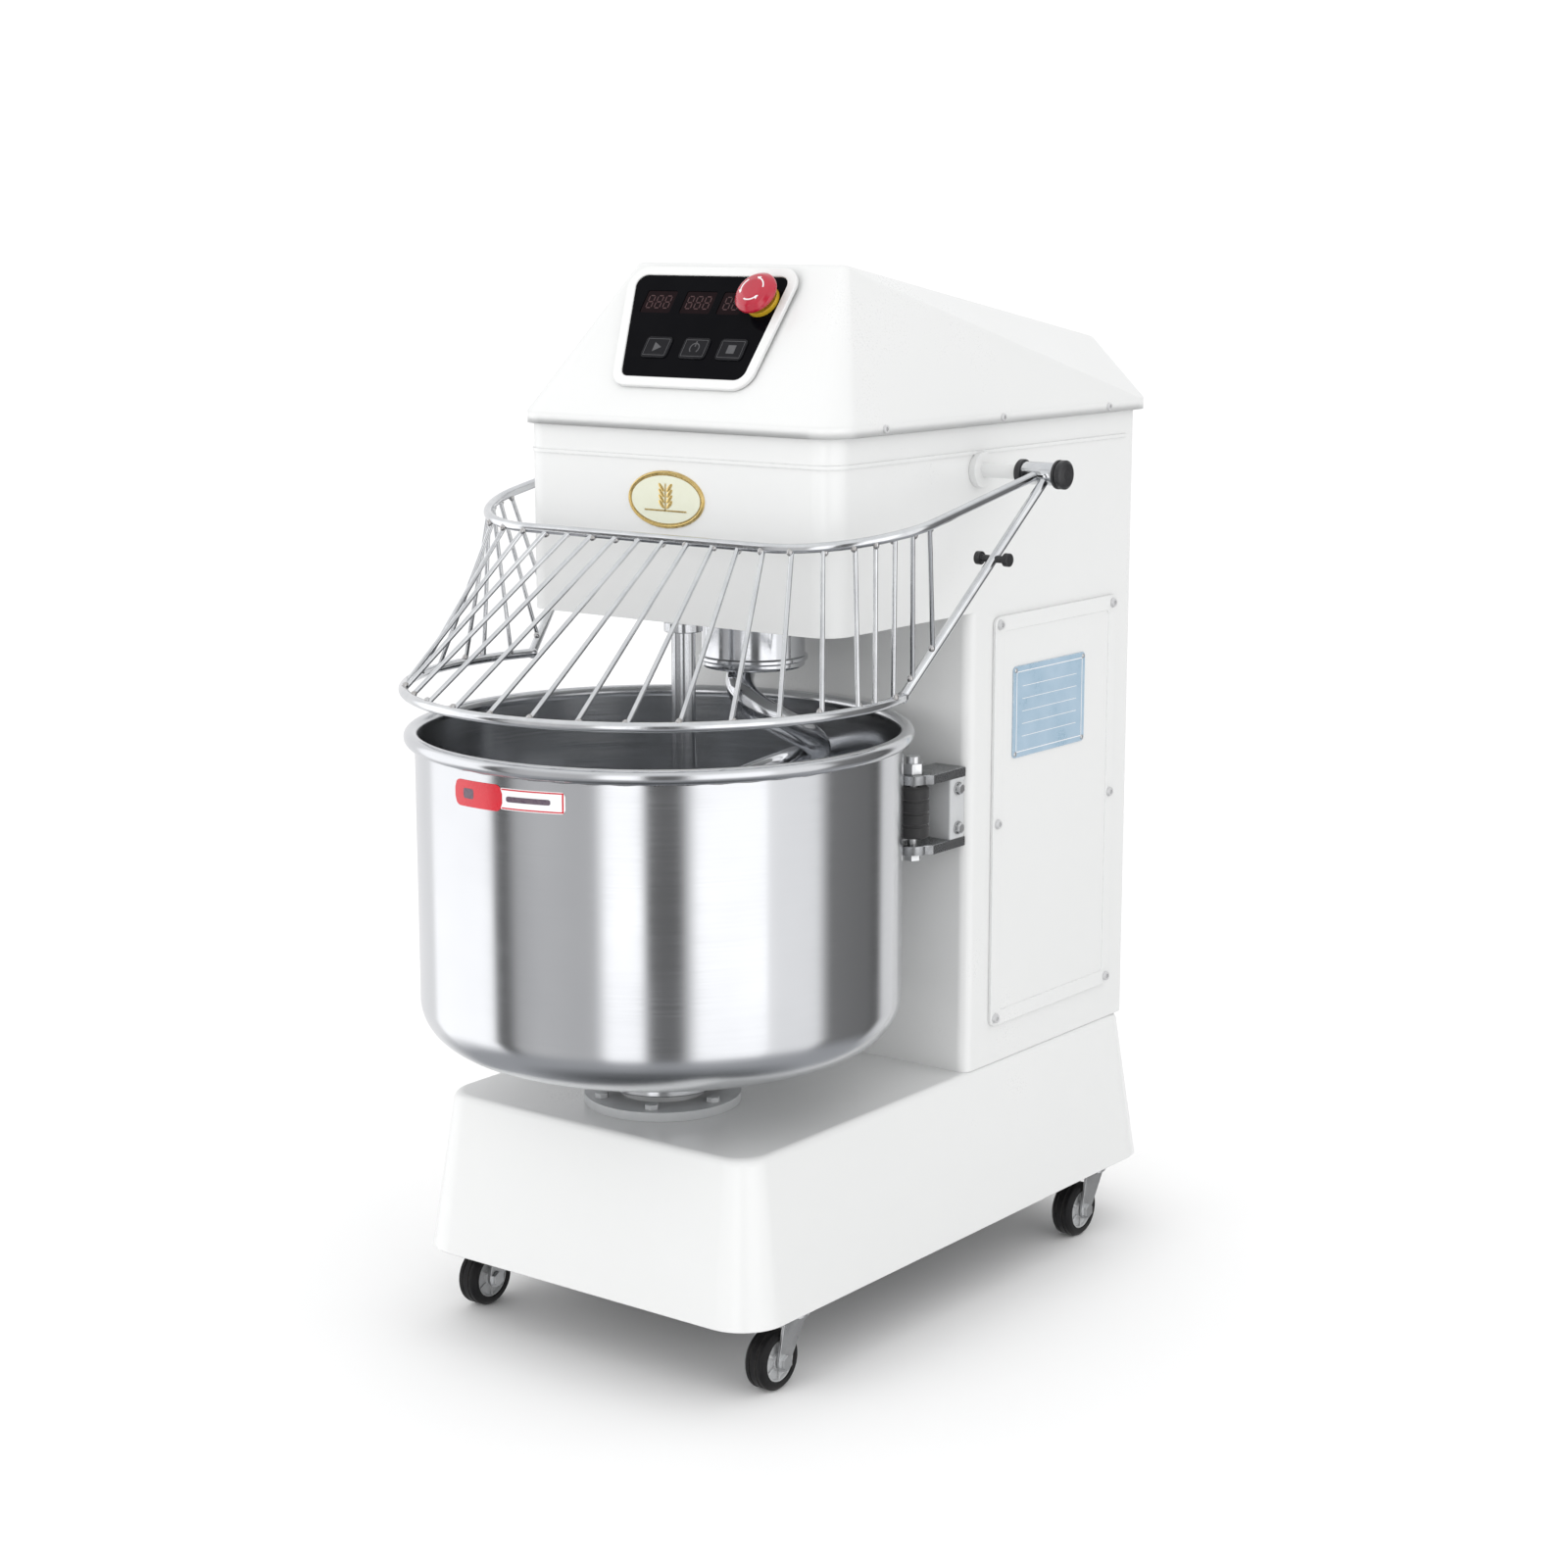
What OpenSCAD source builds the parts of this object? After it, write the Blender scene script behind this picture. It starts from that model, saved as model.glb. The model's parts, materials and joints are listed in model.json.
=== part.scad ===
// Spiral dough mixer: turning bowl, spiral hook, breaker bar, wire guard, on four casters.
// Everything is drawn about the bowl's axis, then moved back so that the machine stands
// centred on the origin. +X is the machine's right seen from the front, +Y its back.

/* [Bowl] */
// Outer radius of the bowl's wall
bowl_r = 200; // [190:1:202]
// Height of the top of the rolled rim
rim_z = 520; // [500:1:525]
// Height of the bowl's underside
bowl_z = 254; // [250:1:262]
// Sheet thickness of the bowl
bowl_t = 2; // [1.5:0.5:3]

/* [Base] */
// Height of the skirt's bottom edge
skirt_z = 64; // [62:1:68]
// Height of the deck under the bowl
deck_z = 200; // [196:1:202]
// Half width of the deck
deck_hw = 164; // [163:1:168]
// How far the skirt flares out on each side
flare = 19; // [10:1:24]
// Front edge of the deck, from the bowl's axis
deck_front = -95; // [-100:1:-90]

/* [Body] */
// Half width of the column and the head
body_hw = 162; // [160:1:163]
// Front face of the column
column_y = 214; // [213:1:218]
// Rear face of the body
body_back = 479; // [476:1:482]
// Front face of the head
head_y = 18; // [14:1:22]
// Underside of the head
head_z = 601; // [598:1:604]
// Height of the joint between the body and the head cover
seam_z = 768; // [764:1:772]
// Thickness of the body's sheet
sheet_t = 2.5; // [2:0.5:3]

/* [Head cover] */
// Height of the cover's front top edge
cover_top = 890; // [880:1:900]
// Height of the cover's rear top edge
cover_rear_top = 822; // [815:1:830]
// How far the cover's lip stands proud of the body
lip = 6; // [4:1:8]

/* [Hook and breaker bar] */
// Hook axis, from the bowl's axis
hook_y = 125; // [124:0.5:126]
// Radius of the hook's helix, to the rod's centre
helix_r = 54; // [50:1:54]
// Radius of the hook's rod
hook_rod_r = 12; // [10:0.5:12]
// Breaker bar axis, from the bowl's axis
bar_y = 31; // [30:1:32]
// Radius of the breaker bar
bar_r = 10; // [9:0.5:11]

/* [Guard] */
// Radius of the guard's lower ring
ring_r = 208; // [207:1:209]
// Height of the guard's lower ring
ring_z = 553; // [548:1:556]
// Half width of the guard's upper rail
rail_hw = 222; // [220:1:224]
// Front bar of the upper rail
rail_front = -22; // [-24:1:-18]
// Height of the rail's front bar
rail_z = 675; // [672:1:678]
// Bend radius of the rail's corners
rail_bend = 99; // [80:1:110]
// Guard pivot, distance behind the bowl's axis
pivot_y = 223; // [221:1:225]
// Guard pivot, height
pivot_z = 721; // [718:1:724]
// Radius of the rail's and the ring's rod
rod_r = 4; // [3.5:0.25:4.5]
// Radius of the guard's wires
wire_r = 2; // [1.75:0.25:2.5]
// Front wires on each side of the middle one
front_wires = 8; // [7:1:8]

/* [Casters] */
// Wheel radius
wheel_r = 25; // [24:0.5:26]
// Wheel width
wheel_w = 20; // [18:1:22]
// Distance from the swivel axis to the axle
trail = 25; // [20:1:26]

/* [Hidden] */

white = "#f2f3f2";
paint_grey = "#d9dcdc";
steel = "#b9bdc2";
dark_steel = "#55595e";
black = "#1b1c1e";
rubber = "#222222";

// the origin lies midway between the guard ring's front and the cover's rear lip
rim_roll_r = 6;
rim_r = bowl_r + 9;
lip_back = body_back + 21;
shift_y = -(lip_back - ring_r - rod_r) / 2;

run = 0.05;        // running clearance of a shaft in its bearing
gap = 0.3;         // clearance between faces of different bodies
eps = 0.01;

// base
skirt_t = 3;
skirt_corner = 34;
pedestal_r = 36;

// covers of the body: extent of each, and how far its screws stand in from the edge
panel_y = [248, 446];
panel_z = [234, 594];
panel_screw = 7;
access_rim = 17;
rear_w = 300;
rear_z = [deck_z + 12, 738];
rear_screw = [8, 10];
louvres = 9;
louvre_pitch = 17;
louvre_z = 560;
gland_at = [100, 240];
gland_r = 10;

// drive: axes in plan and heights of the pulleys
lay_at = [-50, 270];
counter_at = [60, 150];
motor_at = [60, 385];
hook_at = [0, hook_y];
plate_z = 640;
pulley_h = 20;
flange_h = 3;
flange_r = 5;
head_low_z = 672;
head_high_z = 712;
base_low_z = 114;
base_high_z = 140;
hook_pulley_r = 90;
lay_top_r = 85;
lay_mid_r = 30;
lay_low_r = 22;
motor_pulley_r = 30;
counter_big_r = 80;
counter_small_r = 20;
bowl_pulley_r = 88;

// shafts
bowl_shaft_r = 15;
hook_shaft_r = 15;
lay_r = 12;
counter_r = 10;
bearing_w = 13;
bearing_r = 26;

// hook
hub_r = 44;
hub_h = 44;
hub_top = head_z - 4;
hook_end_z = 286;
hook_rings = 72;
hook_sides = 14;
bar_stud_r = 6;

// guard
rail_drop = atan2(pivot_z - rail_z, pivot_y - rail_front);
arm = norm([pivot_y - rail_front, pivot_z - rail_z]);
rail_flat = rail_hw - rail_bend;
rail_arc = rail_bend * PI / 2;
ring_end = 18;                 // the ring runs this many degrees behind the bowl's axis
wire_step_ring = 10.9;
wire_step_rail = 25;
// the wires behind those on each side: place along the rail, and angle on the ring
ring_wires = [[216.5, 3.5], [233, 12]];
// the last ones on each side: place along the rail, and share of the strut's length
strut_wires = [[249.5, 0.935], [268, 0.8]];
strut_top_x = 231;
eye_from = 209;
eye_to = 239;
eye_r = 9.5;
pin_r = 6;
knob_end = 249;

// head cover slope
lip_h = 10;
lip_front = head_y - lip + 1;
cover_front_y = 102;
cover_top_hw = 112;
cover_rear_y = 484;
cover_rear_hw = 118;
slope = atan2(cover_top - seam_z, cover_front_y - lip_front);
edge_r = 8;

// control panel, in the slope's own plane: x, and distance up the slope
panel_pts = [[-65, 37], [61, 37], [66, 136], [-95, 136]];
panel_corner = 9;
bezel_grow = 9;
panel_t = 3;
bezel_t = 4;
key_at = [[-40, 65], [0, 65], [38, 65]];
key_size = [27, 20];
display_at = [[-60, 110], [-18, 110], [17, 110]];
display_size = [[32, 22], [32, 22], [24, 22]];
estop_at = [49, 112];
estop_r = 19;
estop_stem_r = 8;
estop_travel = 4;

// rollers that steady the bowl
roller_r = 14;
roller_h = 43;
roller_z = 416;
roller_dist = bowl_r + roller_r + gap;
roller_angle = 49;
roller_x = roller_dist * cos(roller_angle);
roller_y = roller_dist * sin(roller_angle);
roller_pin_r = 4;

// casters
caster_at = [[-157, -30], [157, -30], [-157, 430], [157, 430]];
caster_top = skirt_z + 5;
fork_top = 60;
kingpin_r = 5;
axle_r = 4;

// ---------------------------------------------------------------- helpers

module placed() translate([0, shift_y, 0]) children();

// rectangle with round corners, centred
module round_rect(w, d, r) {
    square([w - 2 * r, d], center = true);
    square([w, d - 2 * r], center = true);
    for (x = [-1, 1], y = [-1, 1])
        translate([x * (w / 2 - r), y * (d / 2 - r)]) circle(r = r, $fn = 48);
}

// plate with round corners between two heights, from y0 to y1 and centred on x
module plan_plate(hw, y0, y1, r, z0, z1)
    translate([0, (y0 + y1) / 2, z0])
        linear_extrude(z1 - z0) round_rect(2 * hw, y1 - y0, r);

// straight rod between two points
module rod(a, b, r, fn = 32) {
    v = b - a;
    translate(a) rotate([0, acos(v.z / norm(v)), atan2(v.y, v.x)])
        cylinder(h = norm(v), r = r, $fn = fn);
}

module ring(r_out, r_in, z, h, fn = 64)
    translate([0, 0, z]) difference() {
        cylinder(h = h, r = r_out, $fn = fn);
        translate([0, 0, -1]) cylinder(h = h + 2, r = r_in, $fn = fn);
    }

// belt pulley with two flanges, its groove of radius r, on a shaft of radius bore
module pulley(r, bore, z) {
    difference() {
        union() {
            translate([0, 0, z]) cylinder(h = pulley_h, r = r, $fn = 96);
            for (h = [0, pulley_h - flange_h])
                translate([0, 0, z + h]) cylinder(h = flange_h, r = r + flange_r, $fn = 96);
        }
        translate([0, 0, z - 1]) cylinder(h = pulley_h + 2, r = bore, $fn = 48);
    }
}

// closed belt round two pulleys
module belt(a, ra, b, rb, z) {
    slack = 0.5;
    thick = 3.5;
    translate([0, 0, z + flange_h + slack])
        linear_extrude(pulley_h - 2 * flange_h - 2 * slack) difference() {
            hull() {
                translate(a) circle(r = ra + thick, $fn = 64);
                translate(b) circle(r = rb + thick, $fn = 64);
            }
            hull() {
                translate(a) circle(r = ra + slack, $fn = 64);
                translate(b) circle(r = rb + slack, $fn = 64);
            }
        }
}

// pan or hex head screw lying on a face, its axis along +Z
module screw_head(r = 4.5, h = 2.6)
    difference() {
        cylinder(h = h, r1 = r, r2 = r * 0.8, $fn = 32);
        translate([0, 0, h - 1]) cylinder(h = 2, r = r * 0.45, $fn = 6);
    }

// frame of the slope: x across, y up the slope, z out of it
module on_slope(p = [0, 0], h = 0)
    translate([0, lip_front, seam_z]) rotate([slope, 0, 0]) translate([p.x, p.y, h]) children();

// ---------------------------------------------------------------- base

module skirt_form(inset, z0, z1)
    hull() {
        plan_plate(deck_hw + flare - inset, deck_front - flare + inset,
            body_back + flare - inset, skirt_corner + 6, z0, z0 + 1);
        plan_plate(deck_hw - inset, deck_front + inset, body_back - inset,
            skirt_corner - 8, z1 - 1, z1);
    }

module base_shell()
    color(white) placed() difference() {
        skirt_form(0, skirt_z, deck_z);
        skirt_form(skirt_t, skirt_z - eps, deck_z - skirt_t);
        translate([0, 0, deck_z - 10]) cylinder(h = 20, r = pedestal_r + 0.5, $fn = 64);
        translate([lay_at.x, lay_at.y, deck_z - 10]) cylinder(h = 20, r = lay_r + 8, $fn = 48);
    }

// welded frame under the deck: two rails, four cross bars, a thick plate on four posts
module chassis_frame() {
    rail_x = 146;
    rail_w = 52;
    bar_h = 30;
    top = deck_z - skirt_t;
    front = deck_front + 14;
    post_y = [front + 12, lay_at.y - 45];
    color(dark_steel) placed() difference() {
        union() {
            for (s = [-1, 1])
                translate([s * rail_x - rail_w / 2, front, caster_top])
                    cube([rail_w, body_back - 12 - front, bar_h]);
            for (y = [front, counter_at.y - 20, lay_at.y - 20, body_back - 52])
                translate([-rail_x, y, caster_top]) cube([2 * rail_x, 40, bar_h]);
            for (s = [-1, 1], y = post_y)
                translate([s * (rail_x - 6) - 10, y - 10, caster_top])
                    cube([20, 20, top - caster_top]);
            translate([-rail_x, post_y[0] - 10, top - 10])
                cube([2 * rail_x, post_y[1] - post_y[0] + 20, 10]);
        }
        for (a = [counter_at, lay_at])
            translate([a.x, a.y, caster_top - 1]) cylinder(h = bar_h + 2, r = 14, $fn = 48);
        translate([0, 0, top - 20]) cylinder(h = 30, r = pedestal_r + 0.5, $fn = 64);
    }
}

// ---------------------------------------------------------------- body

module body_shell() {
    floor_t = 6;
    top = seam_z - 5;
    color(white) placed() difference() {
        union() {
            plan_plate(body_hw, column_y, body_back, 10, deck_z, top);
            plan_plate(body_hw, head_y, body_back, 22, head_z, top);
            // swage below the cover's lip
            plan_plate(body_hw + 1, head_y - 1, body_back - 2, 22, seam_z - 34, seam_z - 31);
        }
        plan_plate(body_hw - sheet_t, column_y + sheet_t, body_back - sheet_t, 8,
            deck_z - 1, seam_z + 1);
        plan_plate(body_hw - sheet_t, head_y + sheet_t, body_back - sheet_t, 20,
            head_z + floor_t, seam_z + 1);
        // rear opening, closed by the rear cover
        translate([-rear_w / 2 + 10, body_back - 20, rear_z[0] + 14])
            cube([rear_w - 20, 40, rear_z[1] - rear_z[0] - 26]);
        // side access opening, closed by the side panel
        translate([body_hw - 20, panel_y[0] + access_rim, panel_z[0] + access_rim])
            cube([40, panel_y[1] - panel_y[0] - 2 * access_rim,
                panel_z[1] - panel_z[0] - 2 * access_rim]);
        translate([0, hook_y, head_z - 1]) cylinder(h = 10, r = 36, $fn = 64);
        translate([0, bar_y, head_z - 1]) cylinder(h = 10, r = bar_stud_r + 0.1, $fn = 48);
        translate([-body_hw - 10, pivot_y, pivot_z]) rotate([0, 90, 0])
            cylinder(h = 2 * body_hw + 20, r = pin_r + 0.1, $fn = 48);
    }
}

module side_panel() {
    w = panel_y[1] - panel_y[0];
    h = panel_z[1] - panel_z[0];
    border = 13;
    color(white) placed() translate([body_hw, panel_y[0] + w / 2, panel_z[0] + h / 2])
        rotate([90, 0, 90]) difference() {
            linear_extrude(3) round_rect(w, h, 7);
            translate([0, 0, 2]) linear_extrude(2)
                round_rect(w - 2 * border, h - 2 * border, 5);
        }
}

module rating_plate()
    color("#9db4c6") placed() translate([body_hw + 2, 335, 508]) rotate([90, 0, 90])
        linear_extrude(1.2) round_rect(116, 80, 4);

// sheet with two columns of louvres, each a hood over a slot
module rear_cover()
    color(white) placed() difference() {
        union() {
            translate([0, body_back, (rear_z[0] + rear_z[1]) / 2]) rotate([-90, 0, 0])
                linear_extrude(sheet_t) round_rect(rear_w, rear_z[1] - rear_z[0], 8);
            for (i = [0 : louvres - 1], x = [-62, 62])
                translate([x, body_back + sheet_t, louvre_z + i * louvre_pitch])
                    rotate([0, -90, 0]) linear_extrude(90, center = true)
                        polygon([[0, -eps], [9, -eps], [2, 5], [0, 5]]);
        }
        for (i = [0 : louvres - 1], x = [-62, 62])
            translate([x - 42, body_back - 1, louvre_z + i * louvre_pitch - 1])
                cube([84, 4.4, 4]);
        translate([gland_at.x, body_back - 1, gland_at.y]) rotate([-90, 0, 0])
            cylinder(h = 6, r = gland_r + 0.2, $fn = 48);
    }

// screws of the side panel, the rear cover and the head cover
module cover_screws()
    color(steel) placed() {
        for (y = [panel_y[0] + panel_screw, panel_y[1] - panel_screw],
                z = [panel_z[0] + panel_screw, (panel_z[0] + panel_z[1]) / 2,
                    panel_z[1] - panel_screw])
            translate([body_hw + 3, y, z]) rotate([0, 90, 0]) screw_head();
        for (s = [-1, 1], z = [rear_z[0] + rear_screw.y, 392, 562, rear_z[1] - rear_screw.y])
            translate([s * (rear_w / 2 - rear_screw.x), body_back + sheet_t, z])
                rotate([-90, 0, 0]) screw_head();
        for (s = [-1, 1], y = [80, 250, 420])
            translate([s * (body_hw + lip), y, seam_z - lip_h / 2])
                rotate([0, s * 90, 0]) screw_head(3.6, 2);
    }

// ---------------------------------------------------------------- head cover and controls

module cover_form(inset, z0) {
    side_in = inset > 0 ? lip - gap : 0;
    back_in = inset > 0 ? inset : 0;
    r = edge_r - inset / 2;
    hull() {
        plan_plate(body_hw + lip - side_in, lip_front + max(0, side_in - 1),
            lip_back - back_in, 28 - side_in, z0, seam_z - inset);
        for (s = [-1, 1]) {
            translate([s * (cover_top_hw - edge_r), cover_front_y + edge_r + inset / 2,
                    cover_top - edge_r - inset / 2]) sphere(r = r, $fn = 28);
            translate([s * (cover_rear_hw - edge_r), cover_rear_y - edge_r,
                    cover_rear_top - edge_r - inset / 2]) sphere(r = r, $fn = 28);
        }
    }
}

module head_cover()
    color(white) placed() difference() {
        cover_form(0, seam_z - lip_h);
        cover_form(4, seam_z - lip_h - 1);
        on_slope(h = -14) linear_extrude(30) panel_outline(-6);
    }

// outline of the control panel, grown by g
module panel_outline(g)
    offset(r = panel_corner + g, $fn = 48) offset(delta = -panel_corner) polygon(panel_pts);

module panel_bezel()
    color(white) placed() on_slope(h = 0.2) difference() {
        linear_extrude(bezel_t) panel_outline(bezel_grow);
        translate([0, 0, -1]) linear_extrude(bezel_t + 2) panel_outline(gap);
    }

module control_panel()
    color(black) placed() on_slope(h = 0.2) difference() {
        linear_extrude(panel_t) panel_outline(0);
        for (p = key_at)
            translate([p.x, p.y, -1]) linear_extrude(9)
                round_rect(key_size.x + 2 * gap, key_size.y + 2 * gap, 4);
        for (i = [0 : 2])
            translate([display_at[i].x, display_at[i].y, -1]) linear_extrude(9)
                round_rect(display_size[i].x, display_size[i].y, 2);
        translate([estop_at.x, estop_at.y, -1]) cylinder(h = 9, r = estop_stem_r + 2, $fn = 48);
    }

module display_windows()
    color("#2a0d0f") placed() for (i = [0 : 2])
        on_slope(display_at[i], -1.5) linear_extrude(panel_t + 1.2)
            round_rect(display_size[i].x, display_size[i].y, 2);

module control_board()
    color("#2f6b3c") placed() on_slope([-10, 82], -19) {
        linear_extrude(2) square([104, 70], center = true);
        for (x = [-30, 0, 26]) translate([x, 16, 2]) linear_extrude(5)
            square([18, 12], center = true);
    }

// one key: cap, and the plunger behind it
module key(i)
    color("#2b2c30") placed() on_slope(key_at[i], -1.2) {
        linear_extrude(panel_t + 2.6) round_rect(key_size.x, key_size.y, 3.6);
        translate([0, 0, -5]) cylinder(h = 5.2, r = 4, $fn = 32);
    }

module key_left() key(0);
module key_middle() key(1);
module key_right() key(2);

module estop_collar()
    color("#c9a21a") placed() on_slope(estop_at, panel_t + 0.2)
        ring(15, estop_stem_r + 0.08, 0, 4.5, 48);

module estop_button()
    color("#d21f35") placed() on_slope(estop_at, panel_t + 0.2) {
        translate([0, 0, -14]) cylinder(h = 24, r = estop_stem_r, $fn = 48);
        translate([0, 0, 4.5 + estop_travel + 0.5]) {
            cylinder(h = 6, r1 = estop_r - 2, r2 = estop_r, $fn = 48);
            translate([0, 0, 6]) cylinder(h = 5, r1 = estop_r, r2 = estop_r - 4, $fn = 48);
        }
    }

module badge()
    color("#d6b45a") placed() translate([-6, head_y, 702]) rotate([90, 0, 0])
        linear_extrude(2) resize([80, 47]) circle(r = 40, $fn = 64);

// ---------------------------------------------------------------- bowl

// outline of the bowl below its rim: flat bottom, elliptical corner, straight wall
function bowl_outline(inset, top) = let (a = 50, b = 41, n = 10)
    concat([[0, bowl_z + inset]],
        [for (i = [0 : n]) let (t = 90 * i / n)
            [bowl_r - a + (a - inset) * sin(t), bowl_z + b - (b - inset) * cos(t)]],
        [[bowl_r - inset, top], [0, top]]);

module bowl()
    color(steel) placed() difference() {
        rotate_extrude($fn = 96) polygon(bowl_outline(0, rim_z - rim_roll_r));
        rotate_extrude($fn = 96) polygon(bowl_outline(bowl_t, rim_z));
    }

// rolled rim, on and round the top of the bowl's wall
module bowl_rim()
    color(steel) placed() difference() {
        translate([0, 0, rim_z - rim_roll_r]) rotate_extrude($fn = 96)
            translate([rim_r - rim_roll_r, 0]) circle(r = rim_roll_r, $fn = 32);
        translate([0, 0, rim_z - 3 * rim_roll_r])
            cylinder(h = 2 * rim_roll_r, r = bowl_r, $fn = 96);
    }

module bowl_hub()
    color(steel) placed() {
        ring(58, bowl_shaft_r, bowl_z - 16, 16);
        ring(50, pedestal_r + 6, bowl_z - 38, 22.5);
    }

module bowl_shaft()
    color(steel) placed() translate([0, 0, base_high_z - 6])
        cylinder(h = bowl_z - base_high_z + 6, r = bowl_shaft_r, $fn = 48);

module bowl_pulley() color(dark_steel) placed() pulley(bowl_pulley_r, bowl_shaft_r, base_high_z);

module bowl_bearing_housing()
    color(paint_grey) placed() difference() {
        union() {
            translate([0, 0, deck_z - 34]) cylinder(h = 34 + 32, r = pedestal_r, $fn = 64);
            translate([0, 0, deck_z]) cylinder(h = 8, r = 66, $fn = 64);
            for (i = [0 : 5]) rotate(60 * i) translate([54, 0, deck_z + 8])
                cylinder(h = 4, r = 6, $fn = 6);
        }
        translate([0, 0, deck_z - 40]) cylinder(h = 80, r = bearing_r, $fn = 64);
    }

module bowl_bearings()
    color(steel) placed() for (z = [deck_z - 32, deck_z + 17])
        ring(bearing_r, bowl_shaft_r + run, z, bearing_w);

// ---------------------------------------------------------------- hook and breaker bar

// the hook's centre line: u runs from 0 at the hub to 1 at the tip
function ease(x) = x <= 0 ? 0 : x >= 1 ? 1 : x * x * (3 - 2 * x);
function hook_angle(u) = -90 + 520 * ease(u * 1.04 - 0.02);
function hook_radius(u) = helix_r * ease(u / 0.22) - 12 * ease((u - 0.78) / 0.22);
function hook_height(u) = hub_top - 20 - (hub_top - 20 - hook_end_z) * (0.93 * u + 0.07 * ease(u));
function hook_rod(u) = hook_rod_r * (1 - 0.42 * ease((u - 0.86) / 0.14));
function hook_point(u) = [hook_radius(u) * cos(hook_angle(u)),
    hook_y + hook_radius(u) * sin(hook_angle(u)), hook_height(u)];
function unit(v) = v / norm(v);

module swept_hook() {
    n = hook_rings;
    m = hook_sides;
    rings = [for (i = [0 : n]) let (u = i / n, p = hook_point(u),
            d = unit(hook_point(u + 0.004) - hook_point(u - 0.004)),
            side = unit(cross(d, [0, 0.001, 1])), up = cross(side, d), r = hook_rod(u))
        for (k = [0 : m - 1]) p + r * (side * cos(360 * k / m) + up * sin(360 * k / m))];
    ends = [hook_point(0), hook_point(1)
        + 5 * unit(hook_point(1.004) - hook_point(0.996))];
    last = len(rings);
    polyhedron(points = concat(rings, ends), faces = concat(
        [for (i = [0 : n - 1], k = [0 : m - 1]) let (j = (k + 1) % m)
            [i * m + k, i * m + j, (i + 1) * m + j, (i + 1) * m + k]],
        [for (k = [0 : m - 1]) [last, (k + 1) % m, k]],
        [for (k = [0 : m - 1]) [last + 1, n * m + k, n * m + (k + 1) % m]]));
}

module spiral_hook() color(steel) placed() swept_hook();

// shaft with the round hub that carries the hook
module hook_shaft()
    color(steel) placed() translate([0, hook_y, 0]) {
        translate([0, 0, hub_top - hub_h]) cylinder(h = hub_h, r = hub_r, $fn = 64);
        translate([0, 0, hub_top - hub_h + 6]) ring(hub_r + 2.5, hub_r - 1, 0, 4);
        translate([0, 0, hub_top - 1]) cylinder(h = 706 - hub_top, r = hook_shaft_r, $fn = 48);
    }

module hook_pulley()
    color(dark_steel) placed() translate([0, hook_y, 0])
        pulley(hook_pulley_r, hook_shaft_r, head_low_z);

module hook_bearing_housing()
    color(paint_grey) placed() translate([0, hook_y, 0]) difference() {
        union() {
            translate([0, 0, head_z]) cylinder(h = 64, r = 35.7, $fn = 64);
            translate([0, 0, head_z + 6]) cylinder(h = 8, r = 58, $fn = 64);
        }
        translate([0, 0, head_z - 1]) cylinder(h = 70, r = bearing_r, $fn = 64);
    }

module hook_bearings()
    color(steel) placed() translate([0, hook_y, 0]) for (z = [head_z + 2, head_z + 48])
        ring(bearing_r, hook_shaft_r + run, z, bearing_w);

module breaker_bar()
    color(steel) placed() translate([0, bar_y, 0]) {
        translate([0, 0, 276]) cylinder(h = head_z - 276, r = bar_r, $fn = 48);
        translate([0, 0, 276]) sphere(r = bar_r, $fn = 48);
        translate([0, 0, head_z - 8]) cylinder(h = 8, r = 16, $fn = 48);
        translate([0, 0, head_z - 1]) cylinder(h = 24, r = bar_stud_r, $fn = 48);
    }

module breaker_bar_nut()
    color(steel) placed() translate([0, bar_y, head_z + 6]) difference() {
        cylinder(h = 13, r = 11, $fn = 6);
        translate([0, 0, -1]) cylinder(h = 15, r = bar_stud_r, $fn = 48);
    }

// ---------------------------------------------------------------- guard

// point of the upper rail at arc length s from the middle of its front bar, for s >= 0:
// x, and distance from the pivot axis along the arm
function rail_flat_pt(s) = s < rail_flat ? [s, arm]
    : s < rail_flat + rail_arc ? let (a = (s - rail_flat) / rail_bend * 180 / PI)
        [rail_flat + rail_bend * sin(a), arm - rail_bend + rail_bend * cos(a)]
    : [rail_hw, arm - rail_bend - (s - rail_flat - rail_arc)];
function rail_pt(s) = let (p = rail_flat_pt(abs(s)))
    [sign(s) * p.x, pivot_y - p.y * cos(rail_drop), pivot_z - p.y * sin(rail_drop)];
function ring_pt(a) = [ring_r * cos(a), ring_r * sin(a), ring_z];

// local frame of the rail's plane: +Y runs from the pivot axis to the front bar
module rail_frame() translate([0, pivot_y, pivot_z]) rotate([rail_drop, 0, 0])
    rotate([0, 0, 180]) children();

module guard_rail()
    color(steel) placed() difference() {
        union() {
            rail_frame() {
                translate([-rail_flat, arm, 0]) rotate([0, 90, 0])
                    cylinder(h = 2 * rail_flat, r = rod_r, $fn = 32);
                for (s = [0, 1]) mirror([s, 0, 0]) {
                    translate([rail_flat, arm - rail_bend, 0])
                        rotate_extrude(angle = 90, $fn = 96)
                            translate([rail_bend, 0]) circle(r = rod_r, $fn = 32);
                    translate([rail_hw, 0, 0]) rotate([-90, 0, 0])
                        cylinder(h = arm - rail_bend, r = rod_r, $fn = 32);
                }
            }
            for (s = [0, 1]) mirror([s, 0, 0]) translate([eye_from, pivot_y, pivot_z])
                rotate([0, 90, 0]) cylinder(h = eye_to - eye_from, r = eye_r, $fn = 48);
        }
        for (s = [0, 1]) mirror([s, 0, 0]) translate([eye_from - 5, pivot_y, pivot_z])
            rotate([0, 90, 0])
                cylinder(h = eye_to - eye_from + 10, r = pin_r + run, $fn = 48);
    }

strut_low = ring_pt(ring_end);
strut_high = [strut_top_x, pivot_y, pivot_z];
strut_dir = (strut_low - strut_high) / norm(strut_low - strut_high);

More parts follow.
